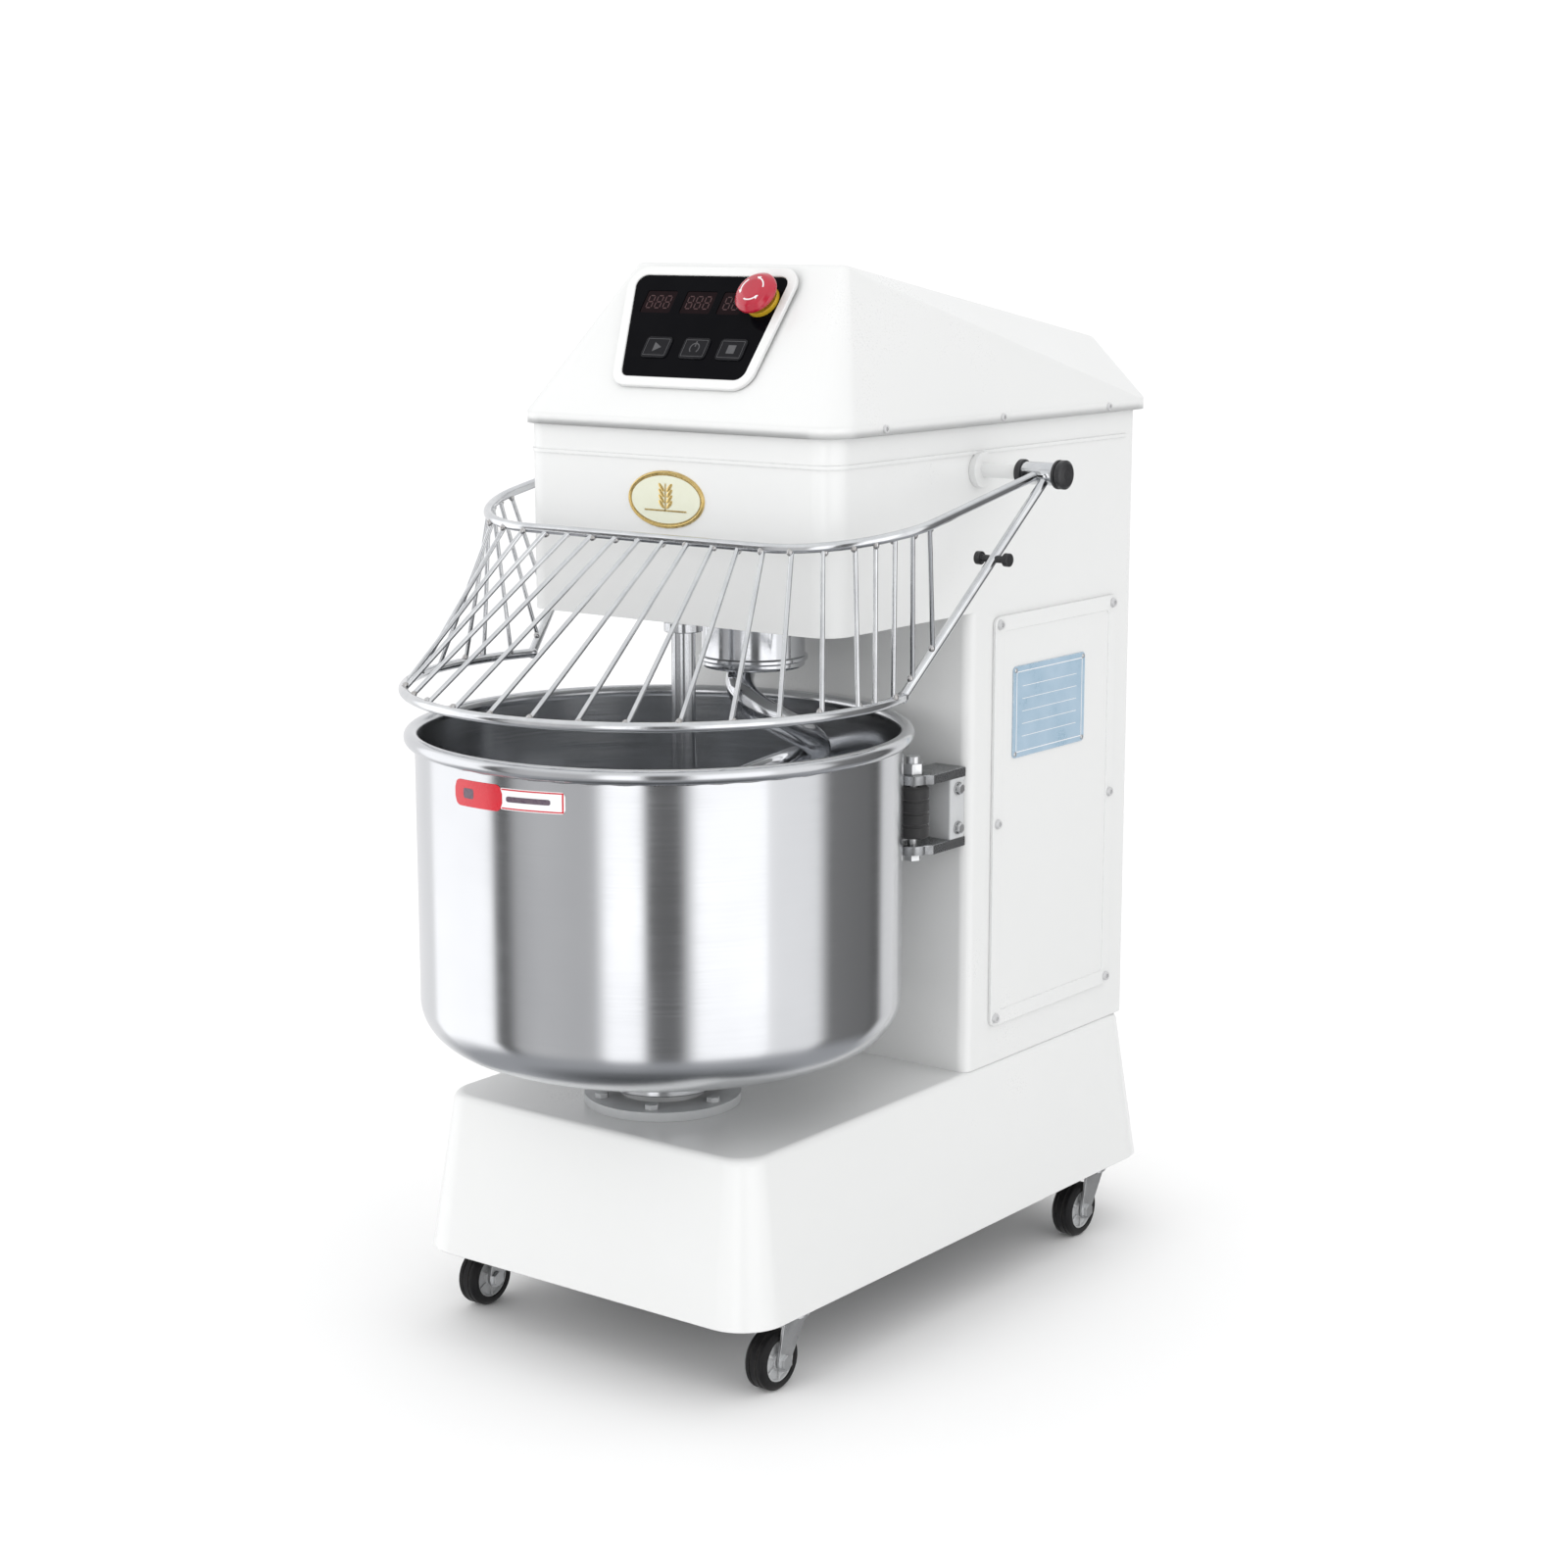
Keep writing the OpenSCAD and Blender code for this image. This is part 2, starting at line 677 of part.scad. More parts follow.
module guard_ring()
    color(steel) placed() {
        translate([0, 0, ring_z]) rotate(-180 - ring_end)
            rotate_extrude(angle = 180 + 2 * ring_end, $fn = 128)
                translate([ring_r, 0]) circle(r = rod_r, $fn = 32);
        for (s = [0, 1]) mirror([s, 0, 0]) {
            translate(strut_low) sphere(r = rod_r + 1, $fn = 32);
            rod(strut_high + (eye_r - 1) * strut_dir, strut_low, rod_r);
        }
    }

module guard_wires()
    color(steel) placed() {
        for (k = [-front_wires : front_wires])
            rod(rail_pt(wire_step_rail * k), ring_pt(-90 + wire_step_ring * k), wire_r, 16);
        for (s = [0, 1]) mirror([s, 0, 0]) {
            for (w = ring_wires) rod(rail_pt(w[0]), ring_pt(w[1]), wire_r, 16);
            for (w = strut_wires)
                rod(rail_pt(w[0]), strut_high + w[1] * (strut_low - strut_high), wire_r, 16);
        }
    }

// short cross pins through the struts, which rest on the body's stops
module guard_stop_pins() {
    at = strut_high + 0.387 * (strut_low - strut_high);
    color(dark_steel) placed() for (s = [0, 1]) mirror([s, 0, 0])
        translate(at) rotate([0, 90, 0]) {
            translate([0, 0, -15]) cylinder(h = 30, r = 3, $fn = 32);
            for (z = [-16, 11]) translate([0, 0, z]) cylinder(h = 5, r = 5.5, $fn = 32);
        }
}

module guard_pivot_pins()
    color(white) placed() for (s = [0, 1]) mirror([s, 0, 0])
        translate([body_hw - 10, pivot_y, pivot_z]) rotate([0, 90, 0]) {
            cylinder(h = knob_end - 2 - body_hw + 10, r = pin_r, $fn = 48);
            translate([0, 0, 10]) cylinder(h = 6, r = 15, $fn = 48);
            cylinder(h = 10 - sheet_t, r = 11, $fn = 6);
        }

module guard_knobs()
    color(black) placed() for (s = [0, 1]) mirror([s, 0, 0])
        translate([eye_to + 0.5, pivot_y, pivot_z]) rotate([0, 90, 0]) difference() {
            union() {
                cylinder(h = 7.5, r = 12, $fn = 48);
                translate([0, 0, 7.5]) cylinder(h = 2, r1 = 12, r2 = 9.5, $fn = 48);
            }
            translate([0, 0, -1]) cylinder(h = 8.5, r = pin_r, $fn = 48);
        }

// ---------------------------------------------------------------- bowl guide rollers

module roller_brackets()
    color(paint_grey) placed() for (s = [0, 1]) mirror([s, 0, 0]) difference() {
        union() {
            // lower and upper arms, joined by a block on the column's face
            for (z = [roller_z - 14, roller_z + roller_h + 3]) {
                translate([roller_x, roller_y, z]) cylinder(h = 8, r = 13, $fn = 48);
                translate([roller_x - 13, roller_y, z])
                    cube([31, column_y - roller_y, 8]);
            }
            translate([roller_x - 13, column_y - 22, roller_z - 14])
                cube([31, 22, roller_h + 25]);
        }
        translate([roller_x, roller_y, roller_z - 20])
            cylinder(h = roller_h + 50, r = roller_pin_r, $fn = 32);
    }

module roller_pins()
    color(steel) placed() for (s = [0, 1]) mirror([s, 0, 0])
        translate([roller_x, roller_y, 0]) {
            translate([0, 0, roller_z - 18])
                cylinder(h = roller_h + 40, r = roller_pin_r, $fn = 32);
            translate([0, 0, roller_z - 20]) cylinder(h = 6, r = 7.5, $fn = 6);
            translate([0, 0, roller_z + roller_h + 11]) cylinder(h = 9, r = 9, $fn = 6);
            translate([0, 0, roller_z + roller_h + 20]) cylinder(h = 6, r = 6, $fn = 32);
        }

module roller(side)
    color(rubber) placed() translate([side * roller_x, roller_y, 0])
        ring(roller_r, roller_pin_r + run, roller_z, roller_h, 64);

module roller_left() roller(-1);
module roller_right() roller(1);

// ---------------------------------------------------------------- drive

// motor hung under its plate with its shaft upwards
module motor() {
    r = 62;
    h = 200;
    fins = 18;
    color("#5f7f94") placed() translate([motor_at.x, motor_at.y, plate_z - h]) difference() {
        union() {
            cylinder(h = h - 8, r = r, $fn = 64);
            translate([0, 0, h - 10]) cylinder(h = 10, r = 76, $fn = 64);
            for (i = [0 : fins - 1]) rotate(360 / fins * (i + 0.5))
                translate([r - 2, -1.5, 30]) cube([8, 3, 130]);
            translate([-112, -30, 70]) cube([60, 60, 70]);
        }
        translate([0, 0, h - 40]) cylinder(h = 50, r = 12, $fn = 48);
    }
}

module motor_pulley()
    color(dark_steel) placed() translate([motor_at.x, motor_at.y, 0]) {
        pulley(motor_pulley_r, 11, head_high_z);
        translate([0, 0, plate_z - 34]) cylinder(h = 140, r = 11, $fn = 48);
    }

module motor_plate()
    color(dark_steel) placed() difference() {
        plan_plate(body_hw - sheet_t, column_y + sheet_t, body_back - 22, 8,
            plate_z, plate_z + 6);
        translate([motor_at.x, motor_at.y, plate_z - 1]) cylinder(h = 9, r = 16, $fn = 48);
        translate([lay_at.x, lay_at.y, plate_z - 1]) cylinder(h = 9, r = 15, $fn = 48);
    }

// long shaft from the base to the head, with its three pulleys
module layshaft()
    color(dark_steel) placed() translate([lay_at.x, lay_at.y, 0]) {
        translate([0, 0, 84]) cylinder(h = 656, r = lay_r, $fn = 48);
        pulley(lay_top_r, lay_r - 1, head_high_z);
        pulley(lay_mid_r, lay_r - 1, head_low_z);
        pulley(lay_low_r, lay_r - 1, base_low_z);
    }

module countershaft()
    color(dark_steel) placed() translate([counter_at.x, counter_at.y, 0]) {
        translate([0, 0, 84]) cylinder(h = 102, r = counter_r, $fn = 48);
        pulley(counter_big_r, counter_r - 1, base_low_z);
        pulley(counter_small_r, counter_r - 1, base_high_z);
    }

// flange bearings of the layshaft and the countershaft
module drive_bearings() {
    low = caster_top + 30;
    color(steel) placed() {
        translate([lay_at.x, lay_at.y, 0]) {
            ring(28, lay_r + run, low, 11);
            ring(28, lay_r + run, plate_z + 6, 14);
        }
        translate([counter_at.x, counter_at.y, 0]) {
            ring(25, counter_r + run, low, 11);
            ring(25, counter_r + run, deck_z - skirt_t - 24, 14);
        }
    }
}

module drive_belts()
    color(black) placed() {
        belt(motor_at, motor_pulley_r, lay_at, lay_top_r, head_high_z);
        belt(lay_at, lay_mid_r, hook_at, hook_pulley_r, head_low_z);
        belt(lay_at, lay_low_r, counter_at, counter_big_r, base_low_z);
        belt(counter_at, counter_small_r, [0, 0], bowl_pulley_r, base_high_z);
    }

module electrical_box()
    color(paint_grey) placed() translate([-body_hw + sheet_t, 330, 270]) difference() {
        cube([54, 120, 170]);
        translate([2, 2, 2]) cube([54, 116, 166]);
    }

// gland for the mains cable, through the rear cover
module cable_gland()
    color(black) placed() translate([gland_at.x, body_back - 10, gland_at.y]) rotate([-90, 0, 0])
        difference() {
            union() {
                cylinder(h = 30, r = gland_r, $fn = 48);
                translate([0, 0, 10 + sheet_t]) cylinder(h = 6, r = 14, $fn = 6);
                translate([0, 0, 4]) cylinder(h = 6, r = 14, $fn = 6);
                translate([0, 0, 19]) cylinder(h = 11, r = 11.5, $fn = 12);
            }
            translate([0, 0, -1]) cylinder(h = 32, r = 5, $fn = 48);
        }

// ---------------------------------------------------------------- casters

module caster_plates()
    color(steel) placed() for (p = caster_at) translate([p.x, p.y, 0]) {
        // plate, swivel race and kingpin
        translate([-20, -22, caster_top - 3]) cube([40, 44, 3]);
        translate([0, 0, fork_top + gap]) cylinder(h = caster_top - 3 - fork_top - gap,
            r = 15, $fn = 48);
        translate([0, 0, fork_top - 3.6]) cylinder(h = 8, r = kingpin_r, $fn = 32);
    }

// fork of caster i: crown, two legs, axle bolt
module fork(i) {
    leg_x = wheel_w / 2 + 1.5;
    leg_t = 2.5;
    color(steel) placed() translate([caster_at[i].x, caster_at[i].y, 0])
        rotate(180) {
            difference() {
                union() {
                    translate([0, 0, fork_top - 4]) cylinder(h = 4, r = 16, $fn = 48);
                    translate([-leg_x - leg_t, 0, fork_top - 4])
                        cube([2 * (leg_x + leg_t), trail, 4]);
                }
                translate([0, 0, fork_top - 9])
                    cylinder(h = 14, r = kingpin_r + run, $fn = 32);
            }
            for (s = [-1, 1]) translate([s * (leg_x + leg_t / 2), 0, 0]) rotate([90, 0, 90])
                linear_extrude(leg_t, center = true) {
                    polygon([[-6, fork_top], [trail, fork_top], [trail + 8, wheel_r + 2],
                        [trail + 8, wheel_r], [trail - 8, wheel_r]]);
                    translate([trail, wheel_r]) circle(r = 8, $fn = 32);
                }
            translate([-leg_x - leg_t - 3, trail, wheel_r]) rotate([0, 90, 0])
                cylinder(h = 2 * (leg_x + leg_t + 3), r = axle_r, $fn = 32);
            for (s = [-1, 1]) translate([s * (leg_x + leg_t + 1.5), trail, wheel_r])
                rotate([0, 90, 0]) cylinder(h = 3, r = 6.5, $fn = 6, center = true);
        }
}

module fork_front_left() fork(0);
module fork_front_right() fork(1);
module fork_rear_left() fork(2);
module fork_rear_right() fork(3);

// wheel of caster i: tread, recessed hub disc, bore
module wheel(i)
    color(rubber) placed() translate([caster_at[i].x, caster_at[i].y, 0])
        translate([0, -trail, wheel_r]) rotate([0, 90, 0])
            rotate_extrude($fn = 96) polygon([[axle_r + run, -wheel_w / 2],
                [8, -wheel_w / 2], [9, -wheel_w / 2 + 3], [17, -wheel_w / 2 + 3],
                [18, -wheel_w / 2], [wheel_r - 3, -wheel_w / 2], [wheel_r, -wheel_w / 2 + 3],
                [wheel_r, wheel_w / 2 - 3], [wheel_r - 3, wheel_w / 2], [18, wheel_w / 2],
                [17, wheel_w / 2 - 3], [9, wheel_w / 2 - 3], [8, wheel_w / 2],
                [axle_r + run, wheel_w / 2]]);

module wheel_front_left() wheel(0);
module wheel_front_right() wheel(1);
module wheel_rear_left() wheel(2);
module wheel_rear_right() wheel(3);

base_shell();
chassis_frame();
body_shell();
side_panel();
rating_plate();
rear_cover();
cover_screws();
head_cover();
panel_bezel();
control_panel();
display_windows();
control_board();
key_left();
key_middle();
key_right();
estop_collar();
estop_button();
badge();
bowl();
bowl_rim();
bowl_hub();
bowl_shaft();
bowl_pulley();
bowl_bearing_housing();
bowl_bearings();
spiral_hook();
hook_shaft();
hook_pulley();
hook_bearing_housing();
hook_bearings();
breaker_bar();
breaker_bar_nut();
guard_rail();
guard_ring();
guard_wires();
guard_stop_pins();
guard_pivot_pins();
guard_knobs();
roller_brackets();
roller_pins();
roller_left();
roller_right();
motor();
motor_pulley();
motor_plate();
layshaft();
countershaft();
drive_bearings();
drive_belts();
electrical_box();
cable_gland();
caster_plates();
fork_front_left();
fork_front_right();
fork_rear_left();
fork_rear_right();
wheel_front_left();
wheel_front_right();
wheel_rear_left();
wheel_rear_right();
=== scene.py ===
"""Looks of the spiral dough mixer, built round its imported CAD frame."""
import json
import math

import bmesh
import bpy
from mathutils import Matrix, Vector


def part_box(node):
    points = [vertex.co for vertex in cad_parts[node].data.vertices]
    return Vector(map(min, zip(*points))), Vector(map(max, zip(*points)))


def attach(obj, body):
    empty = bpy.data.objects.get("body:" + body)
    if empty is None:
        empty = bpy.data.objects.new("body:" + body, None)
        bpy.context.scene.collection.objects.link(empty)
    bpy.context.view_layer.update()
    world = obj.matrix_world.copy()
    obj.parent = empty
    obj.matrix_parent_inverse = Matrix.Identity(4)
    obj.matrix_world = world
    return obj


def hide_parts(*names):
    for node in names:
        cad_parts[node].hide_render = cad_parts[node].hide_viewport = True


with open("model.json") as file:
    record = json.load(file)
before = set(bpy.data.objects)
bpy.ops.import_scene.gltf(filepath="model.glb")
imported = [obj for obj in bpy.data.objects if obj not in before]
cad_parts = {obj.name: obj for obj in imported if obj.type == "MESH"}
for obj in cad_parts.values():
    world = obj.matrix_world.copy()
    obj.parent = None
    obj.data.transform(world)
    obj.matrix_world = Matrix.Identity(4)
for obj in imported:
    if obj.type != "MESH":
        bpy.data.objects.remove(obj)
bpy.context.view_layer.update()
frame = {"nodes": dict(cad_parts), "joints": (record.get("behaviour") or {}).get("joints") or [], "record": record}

NODES = frame["nodes"]
SLOT_OF = {s["node"]: s["material_slot"] for s in frame["record"]["subparts"]}
JOINTS = {j["name"]: j for j in frame["joints"]}
MM = 0.001


# ---------------------------------------------------------------- places, read from the frame

def centre(node):
    low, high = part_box(node)
    return (low + high) / 2


BOWL_AXIS = centre("bowl")
HOOK_AXIS = centre("hook_shaft")
# directions of the sloping control panel: across, up the slope, out of it
OUT = -Vector(JOINTS["estop_press"]["axis"]).normalized()
ACROSS = Vector((1, 0, 0))
UP_SLOPE = OUT.cross(ACROSS)


def slope_frame(node):
    """Frame at the middle of a panel part's outer face, and that face's size."""
    points = [v.co for v in NODES[node].data.vertices]
    lows = [min(p.dot(d) for p in points) for d in (ACROSS, UP_SLOPE, OUT)]
    highs = [max(p.dot(d) for p in points) for d in (ACROSS, UP_SLOPE, OUT)]
    at = (ACROSS * (lows[0] + highs[0]) / 2 + UP_SLOPE * (lows[1] + highs[1]) / 2
          + OUT * highs[2])
    turn = Matrix((ACROSS, UP_SLOPE, OUT)).transposed().to_4x4()
    return Matrix.Translation(at) @ turn, (highs[0] - lows[0], highs[1] - lows[1])


def islands(node):
    """The separate solids of a node, each as a list of points."""
    bm = bmesh.new()
    bm.from_mesh(NODES[node].data)
    bmesh.ops.remove_doubles(bm, verts=bm.verts, dist=1e-5)
    left, found = set(bm.verts), []
    while left:
        group, edge = set(), [next(iter(sorted(left, key=lambda v: v.index)))]
        while edge:
            v = edge.pop()
            if v in group:
                continue
            group.add(v)
            edge += [e.other_vert(v) for e in v.link_edges]
        left -= group
        found.append([v.co.copy() for v in sorted(group, key=lambda v: v.index)])
    bm.free()
    return found


# ---------------------------------------------------------------- materials

class Tree:
    """Short way to add and join shader nodes."""

    def __init__(self, tree):
        self.tree = tree
        tree.nodes.clear()

    def add(self, kind, **values):
        node = self.tree.nodes.new("ShaderNode" + kind)
        for key, value in values.items():
            if hasattr(node, key):
                setattr(node, key, value)
            else:
                self.put(node.inputs[key.replace("_", " ")], value)
        return node

    def put(self, socket, value):
        if isinstance(value, bpy.types.NodeSocket):
            self.tree.links.new(value, socket)
        else:
            socket.default_value = value

    def math(self, operation, a, b=0.5, clamp=False):
        node = self.tree.nodes.new("ShaderNodeMath")
        node.operation = operation
        node.use_clamp = clamp
        self.put(node.inputs[0], a)
        self.put(node.inputs[1], b)
        return node.outputs[0]

    def span(self, value, a, b, low=0.0, high=1.0):
        node = self.tree.nodes.new("ShaderNodeMapRange")
        for i, v in enumerate((value, a, b, low, high)):
            self.put(node.inputs[i], v)
        return node.outputs[0]

    def mix(self, factor, a, b, blend="MIX"):
        node = self.tree.nodes.new("ShaderNodeMix")
        node.data_type = "RGBA"
        node.blend_type = blend
        self.put(node.inputs[0], factor)
        self.put(node.inputs[6], a)
        self.put(node.inputs[7], b)
        return node.outputs[2]

    def noise(self, vector, scale, detail=3.0, rough=0.5):
        node = self.tree.nodes.new("ShaderNodeTexNoise")
        self.put(node.inputs["Vector"], vector)
        node.inputs["Scale"].default_value = scale
        node.inputs["Detail"].default_value = detail
        node.inputs["Roughness"].default_value = rough
        return node.outputs["Fac"]


def rgb(colour):
    return (*colour, 1.0)


def material(name, base, rough, metal=0.0, other=None, patch=9.0, vary=0.5, grain=500.0,
             stretch=(1, 1, 1), bump=0.1, depth=0.0001, rough_vary=0.05, wear_and_edge_shade=None,
             edge_mask_radius=0.0012, dust_and_corner_shade=None, coat=0.0, coat_rough=0.1, spec=0.5, brush=0.0,
             sheen=0.0, speckle=0.0):
    """Procedural finish. base and other are the two colours that patches of `patch` per metre
    mix, grain is the fine structure's scale per metre, brush the anisotropy round the Z axis;
    the edge colour shows on edges, as worn edges on most finishes and as painted shade on the
    white paint's edges, and the corner colour is painted shade that ambient occlusion puts in
    corners, recesses and gaps between parts, together with dust gathered there."""
    mat = bpy.data.materials.new(name)
    mat.use_nodes = True
    t = Tree(mat.node_tree)
    place = t.add("TexCoord").outputs["Object"]
    stretched = t.add("Mapping", Vector=place, Scale=stretch).outputs[0]
    patches = t.noise(place, patch, 4.0, 0.6)
    fine = t.noise(stretched, grain, 5.0, 0.65)
    other = other or tuple(c * 0.9 for c in base)
    colour = t.mix(t.span(patches, 0.35, 0.65, 0.0, vary), rgb(base), rgb(other))
    if speckle:
        colour = t.mix(t.span(fine, 0.42, 0.62, 0.0, speckle), colour,
                       rgb(tuple(c * 0.6 for c in base)))
    roughness = t.math("ADD", t.span(fine, 0.3, 0.7, rough - rough_vary, rough + rough_vary),
                       t.span(patches, 0.35, 0.65, -rough_vary, rough_vary))
    # painted shade: the colour darkens where ambient occlusion finds corners, recesses and gaps between parts, in
    # noise patches as dust gathers
    if dust_and_corner_shade is not None:
        corner = t.add("AmbientOcclusion", samples=4, only_local=False, Distance=0.02)
        mask = t.math("MULTIPLY", t.span(corner.outputs["AO"], 0.85, 0.35, 0.0, 0.55),
                      t.span(patches, 0.3, 0.7, 0.6, 1.0))
        colour = t.mix(mask, colour, rgb(dust_and_corner_shade))
    # edge colour found with the Bevel node: worn edges on most finishes; on the white paint the grey edge is
    # painted shade
    if wear_and_edge_shade is not None:
        soft = t.add("Bevel", samples=4, Radius=edge_mask_radius)
        geometry = t.add("NewGeometry")
        dot = t.add("VectorMath", operation="DOT_PRODUCT")
        t.put(dot.inputs[0], soft.outputs[0])
        t.put(dot.inputs[1], geometry.outputs["Normal"])
        edge = t.span(dot.outputs["Value"], 0.995, 0.9, 0.0, 1.0)
        broken = t.noise(place, 160.0, 5.0, 0.7)
        mask = t.math("MULTIPLY", edge, t.span(broken, 0.42, 0.62, 0.0, 0.75), clamp=True)
        colour = t.mix(mask, colour, rgb(wear_and_edge_shade))
        roughness = t.math("ADD", roughness, t.math("MULTIPLY", mask, 0.12))
    bumped = t.add("Bump", Strength=bump, Distance=depth, Height=fine)
    shader = t.add("BsdfPrincipled")
    t.put(shader.inputs["Base Color"], colour)
    t.put(shader.inputs["Roughness"], t.math("MAXIMUM", roughness, 0.03))
    t.put(shader.inputs["Normal"], bumped.outputs[0])
    shader.inputs["Metallic"].default_value = metal
    shader.inputs["Specular IOR Level"].default_value = spec
    shader.inputs["Coat Weight"].default_value = coat
    shader.inputs["Coat Roughness"].default_value = coat_rough
    shader.inputs["Sheen Weight"].default_value = sheen
    if brush:
        # highlights of a circumferential brushing stretch along the axis
        shader.inputs["Anisotropic"].default_value = brush
        shader.inputs["Anisotropic Rotation"].default_value = 0.25
        tangent = t.add("Tangent", direction_type="RADIAL", axis="Z")
        t.put(shader.inputs["Tangent"], tangent.outputs[0])
    out = t.add("OutputMaterial")
    t.put(out.inputs["Surface"], shader.outputs[0])
    return mat


MAT = {
    # the white paint's grey edge colour and its corner colour are painted shade
    "white_paint": material(
        "white_paint", (0.765, 0.77, 0.767), 0.34, other=(0.742, 0.749, 0.745), patch=5.0,
        vary=0.6, grain=650.0, bump=0.10, depth=0.00008, wear_and_edge_shade=(0.60, 0.61, 0.62),
        dust_and_corner_shade=(0.64, 0.645, 0.64), coat=0.25, coat_rough=0.12),
    "bezel_plastic": material(
        "bezel_plastic", (0.775, 0.78, 0.775), 0.40, other=(0.75, 0.755, 0.75), patch=30.0,
        grain=1400.0, bump=0.10, depth=0.00005, dust_and_corner_shade=(0.55, 0.55, 0.55)),
    "label": material(
        "label", (0.33, 0.46, 0.57), 0.32, other=(0.40, 0.52, 0.63), patch=28.0, vary=0.9,
        grain=900.0, bump=0.05, depth=0.00004, coat=0.3, wear_and_edge_shade=(0.75, 0.78, 0.8)),
    "frame_paint": material(
        "frame_paint", (0.055, 0.06, 0.07), 0.55, other=(0.09, 0.095, 0.10), patch=14.0,
        grain=420.0, bump=0.2, depth=0.0002, wear_and_edge_shade=(0.25, 0.24, 0.23), dust_and_corner_shade=(0.16, 0.15, 0.14)),
    "housing_paint": material(
        "housing_paint", (0.56, 0.57, 0.58), 0.36, other=(0.49, 0.51, 0.52), patch=26.0,
        grain=520.0, bump=0.15, depth=0.0001, wear_and_edge_shade=(0.42, 0.42, 0.42), dust_and_corner_shade=(0.33, 0.33, 0.33)),
    "zinc_steel": material(
        "zinc_steel", (0.78, 0.79, 0.80), 0.38, metal=1.0, other=(0.68, 0.69, 0.69),
        patch=90.0, vary=0.9, grain=900.0, bump=0.12, depth=0.00005, rough_vary=0.07,
        dust_and_corner_shade=(0.3, 0.3, 0.3)),
    "panel_glass": material(
        "panel_glass", (0.0025, 0.0025, 0.0035), 0.10, other=(0.004, 0.004, 0.005), patch=40.0,
        grain=1500.0, bump=0.02, depth=0.00002, rough_vary=0.025, spec=0.03),
    "display": material(
        "display", (0.008, 0.004, 0.005), 0.12, other=(0.014, 0.006, 0.007), patch=120.0,
        grain=1500.0, bump=0.03, depth=0.00002, rough_vary=0.03, spec=0.04),
    "board": material(
        "board", (0.02, 0.16, 0.05), 0.4, other=(0.03, 0.22, 0.08), patch=160.0, vary=1.0,
        grain=900.0),
    "key_plastic": material(
        "key_plastic", (0.008, 0.008, 0.010), 0.34, other=(0.013, 0.013, 0.015), patch=60.0,
        grain=2200.0, bump=0.2, depth=0.00004, spec=0.1, wear_and_edge_shade=(0.05, 0.05, 0.055)),
    "collar_plastic": material(
        "collar_plastic", (0.68, 0.44, 0.02), 0.36, other=(0.58, 0.36, 0.02), patch=60.0,
        grain=1400.0, bump=0.1, depth=0.00004, dust_and_corner_shade=(0.2, 0.13, 0.02)),
    "red_plastic": material(
        "red_plastic", (0.44, 0.010, 0.032), 0.20, other=(0.36, 0.007, 0.026), patch=45.0,
        grain=1300.0, bump=0.05, depth=0.00003, rough_vary=0.04, coat=0.5, coat_rough=0.05,
        wear_and_edge_shade=(0.60, 0.08, 0.10)),
    "gold": material(
        "gold", (0.80, 0.60, 0.24), 0.24, metal=1.0, other=(0.68, 0.48, 0.18), patch=90.0,
        grain=1200.0, bump=0.08, depth=0.00004, wear_and_edge_shade=(0.92, 0.78, 0.45)),
    "stainless": material(
        "stainless", (0.67, 0.68, 0.695), 0.19, metal=1.0, other=(0.62, 0.63, 0.65), patch=4.0,
        vary=0.7, grain=9.0, stretch=(1, 1, 90), bump=0.04, depth=0.00008, rough_vary=0.035,
        brush=0.8),
    "shaft_steel": material(
        "shaft_steel", (0.56, 0.57, 0.58), 0.24, metal=1.0, other=(0.48, 0.48, 0.49),
        patch=40.0, grain=14.0, stretch=(1, 1, 80), bump=0.06, depth=0.0001, brush=0.5,
        dust_and_corner_shade=(0.15, 0.14, 0.13)),
    "hook_steel": material(
        "hook_steel", (0.68, 0.69, 0.71), 0.12, metal=1.0, other=(0.58, 0.59, 0.61),
        patch=22.0, vary=0.8, grain=420.0, bump=0.06, depth=0.00006, rough_vary=0.05),
    "cast_iron": material(
        "cast_iron", (0.13, 0.135, 0.14), 0.42, metal=0.85, other=(0.20, 0.20, 0.205),
        patch=30.0, grain=380.0, bump=0.35, depth=0.0003, wear_and_edge_shade=(0.5, 0.5, 0.5),
        dust_and_corner_shade=(0.09, 0.07, 0.05)),
    "guard_steel": material(
        "guard_steel", (0.74, 0.75, 0.76), 0.15, metal=1.0, other=(0.62, 0.63, 0.65),
        patch=35.0, vary=0.8, grain=700.0, bump=0.06, depth=0.00004, rough_vary=0.05),
    "black_plastic": material(
        "black_plastic", (0.018, 0.018, 0.020), 0.36, other=(0.032, 0.032, 0.034), patch=70.0,
        grain=1500.0, bump=0.25, depth=0.00006, wear_and_edge_shade=(0.12, 0.12, 0.12)),
    "rubber": material(
        "rubber", (0.012, 0.012, 0.013), 0.55, other=(0.026, 0.025, 0.025), patch=60.0,
        grain=1100.0, bump=0.3, depth=0.0001, sheen=0.2, wear_and_edge_shade=(0.07, 0.07, 0.07)),
    "tyre": material(
        "tyre", (0.006, 0.006, 0.007), 0.52, other=(0.016, 0.015, 0.015), patch=80.0,
        grain=900.0, bump=0.3, depth=0.00012, spec=0.2, sheen=0.05, wear_and_edge_shade=(0.06, 0.058, 0.055),
        dust_and_corner_shade=(0.045, 0.043, 0.04)),
    "motor_paint": material(
        "motor_paint", (0.09, 0.17, 0.25), 0.4, other=(0.12, 0.21, 0.30), patch=18.0,
        grain=500.0, bump=0.2, depth=0.0002, wear_and_edge_shade=(0.4, 0.4, 0.4), dust_and_corner_shade=(0.1, 0.1, 0.1)),
}
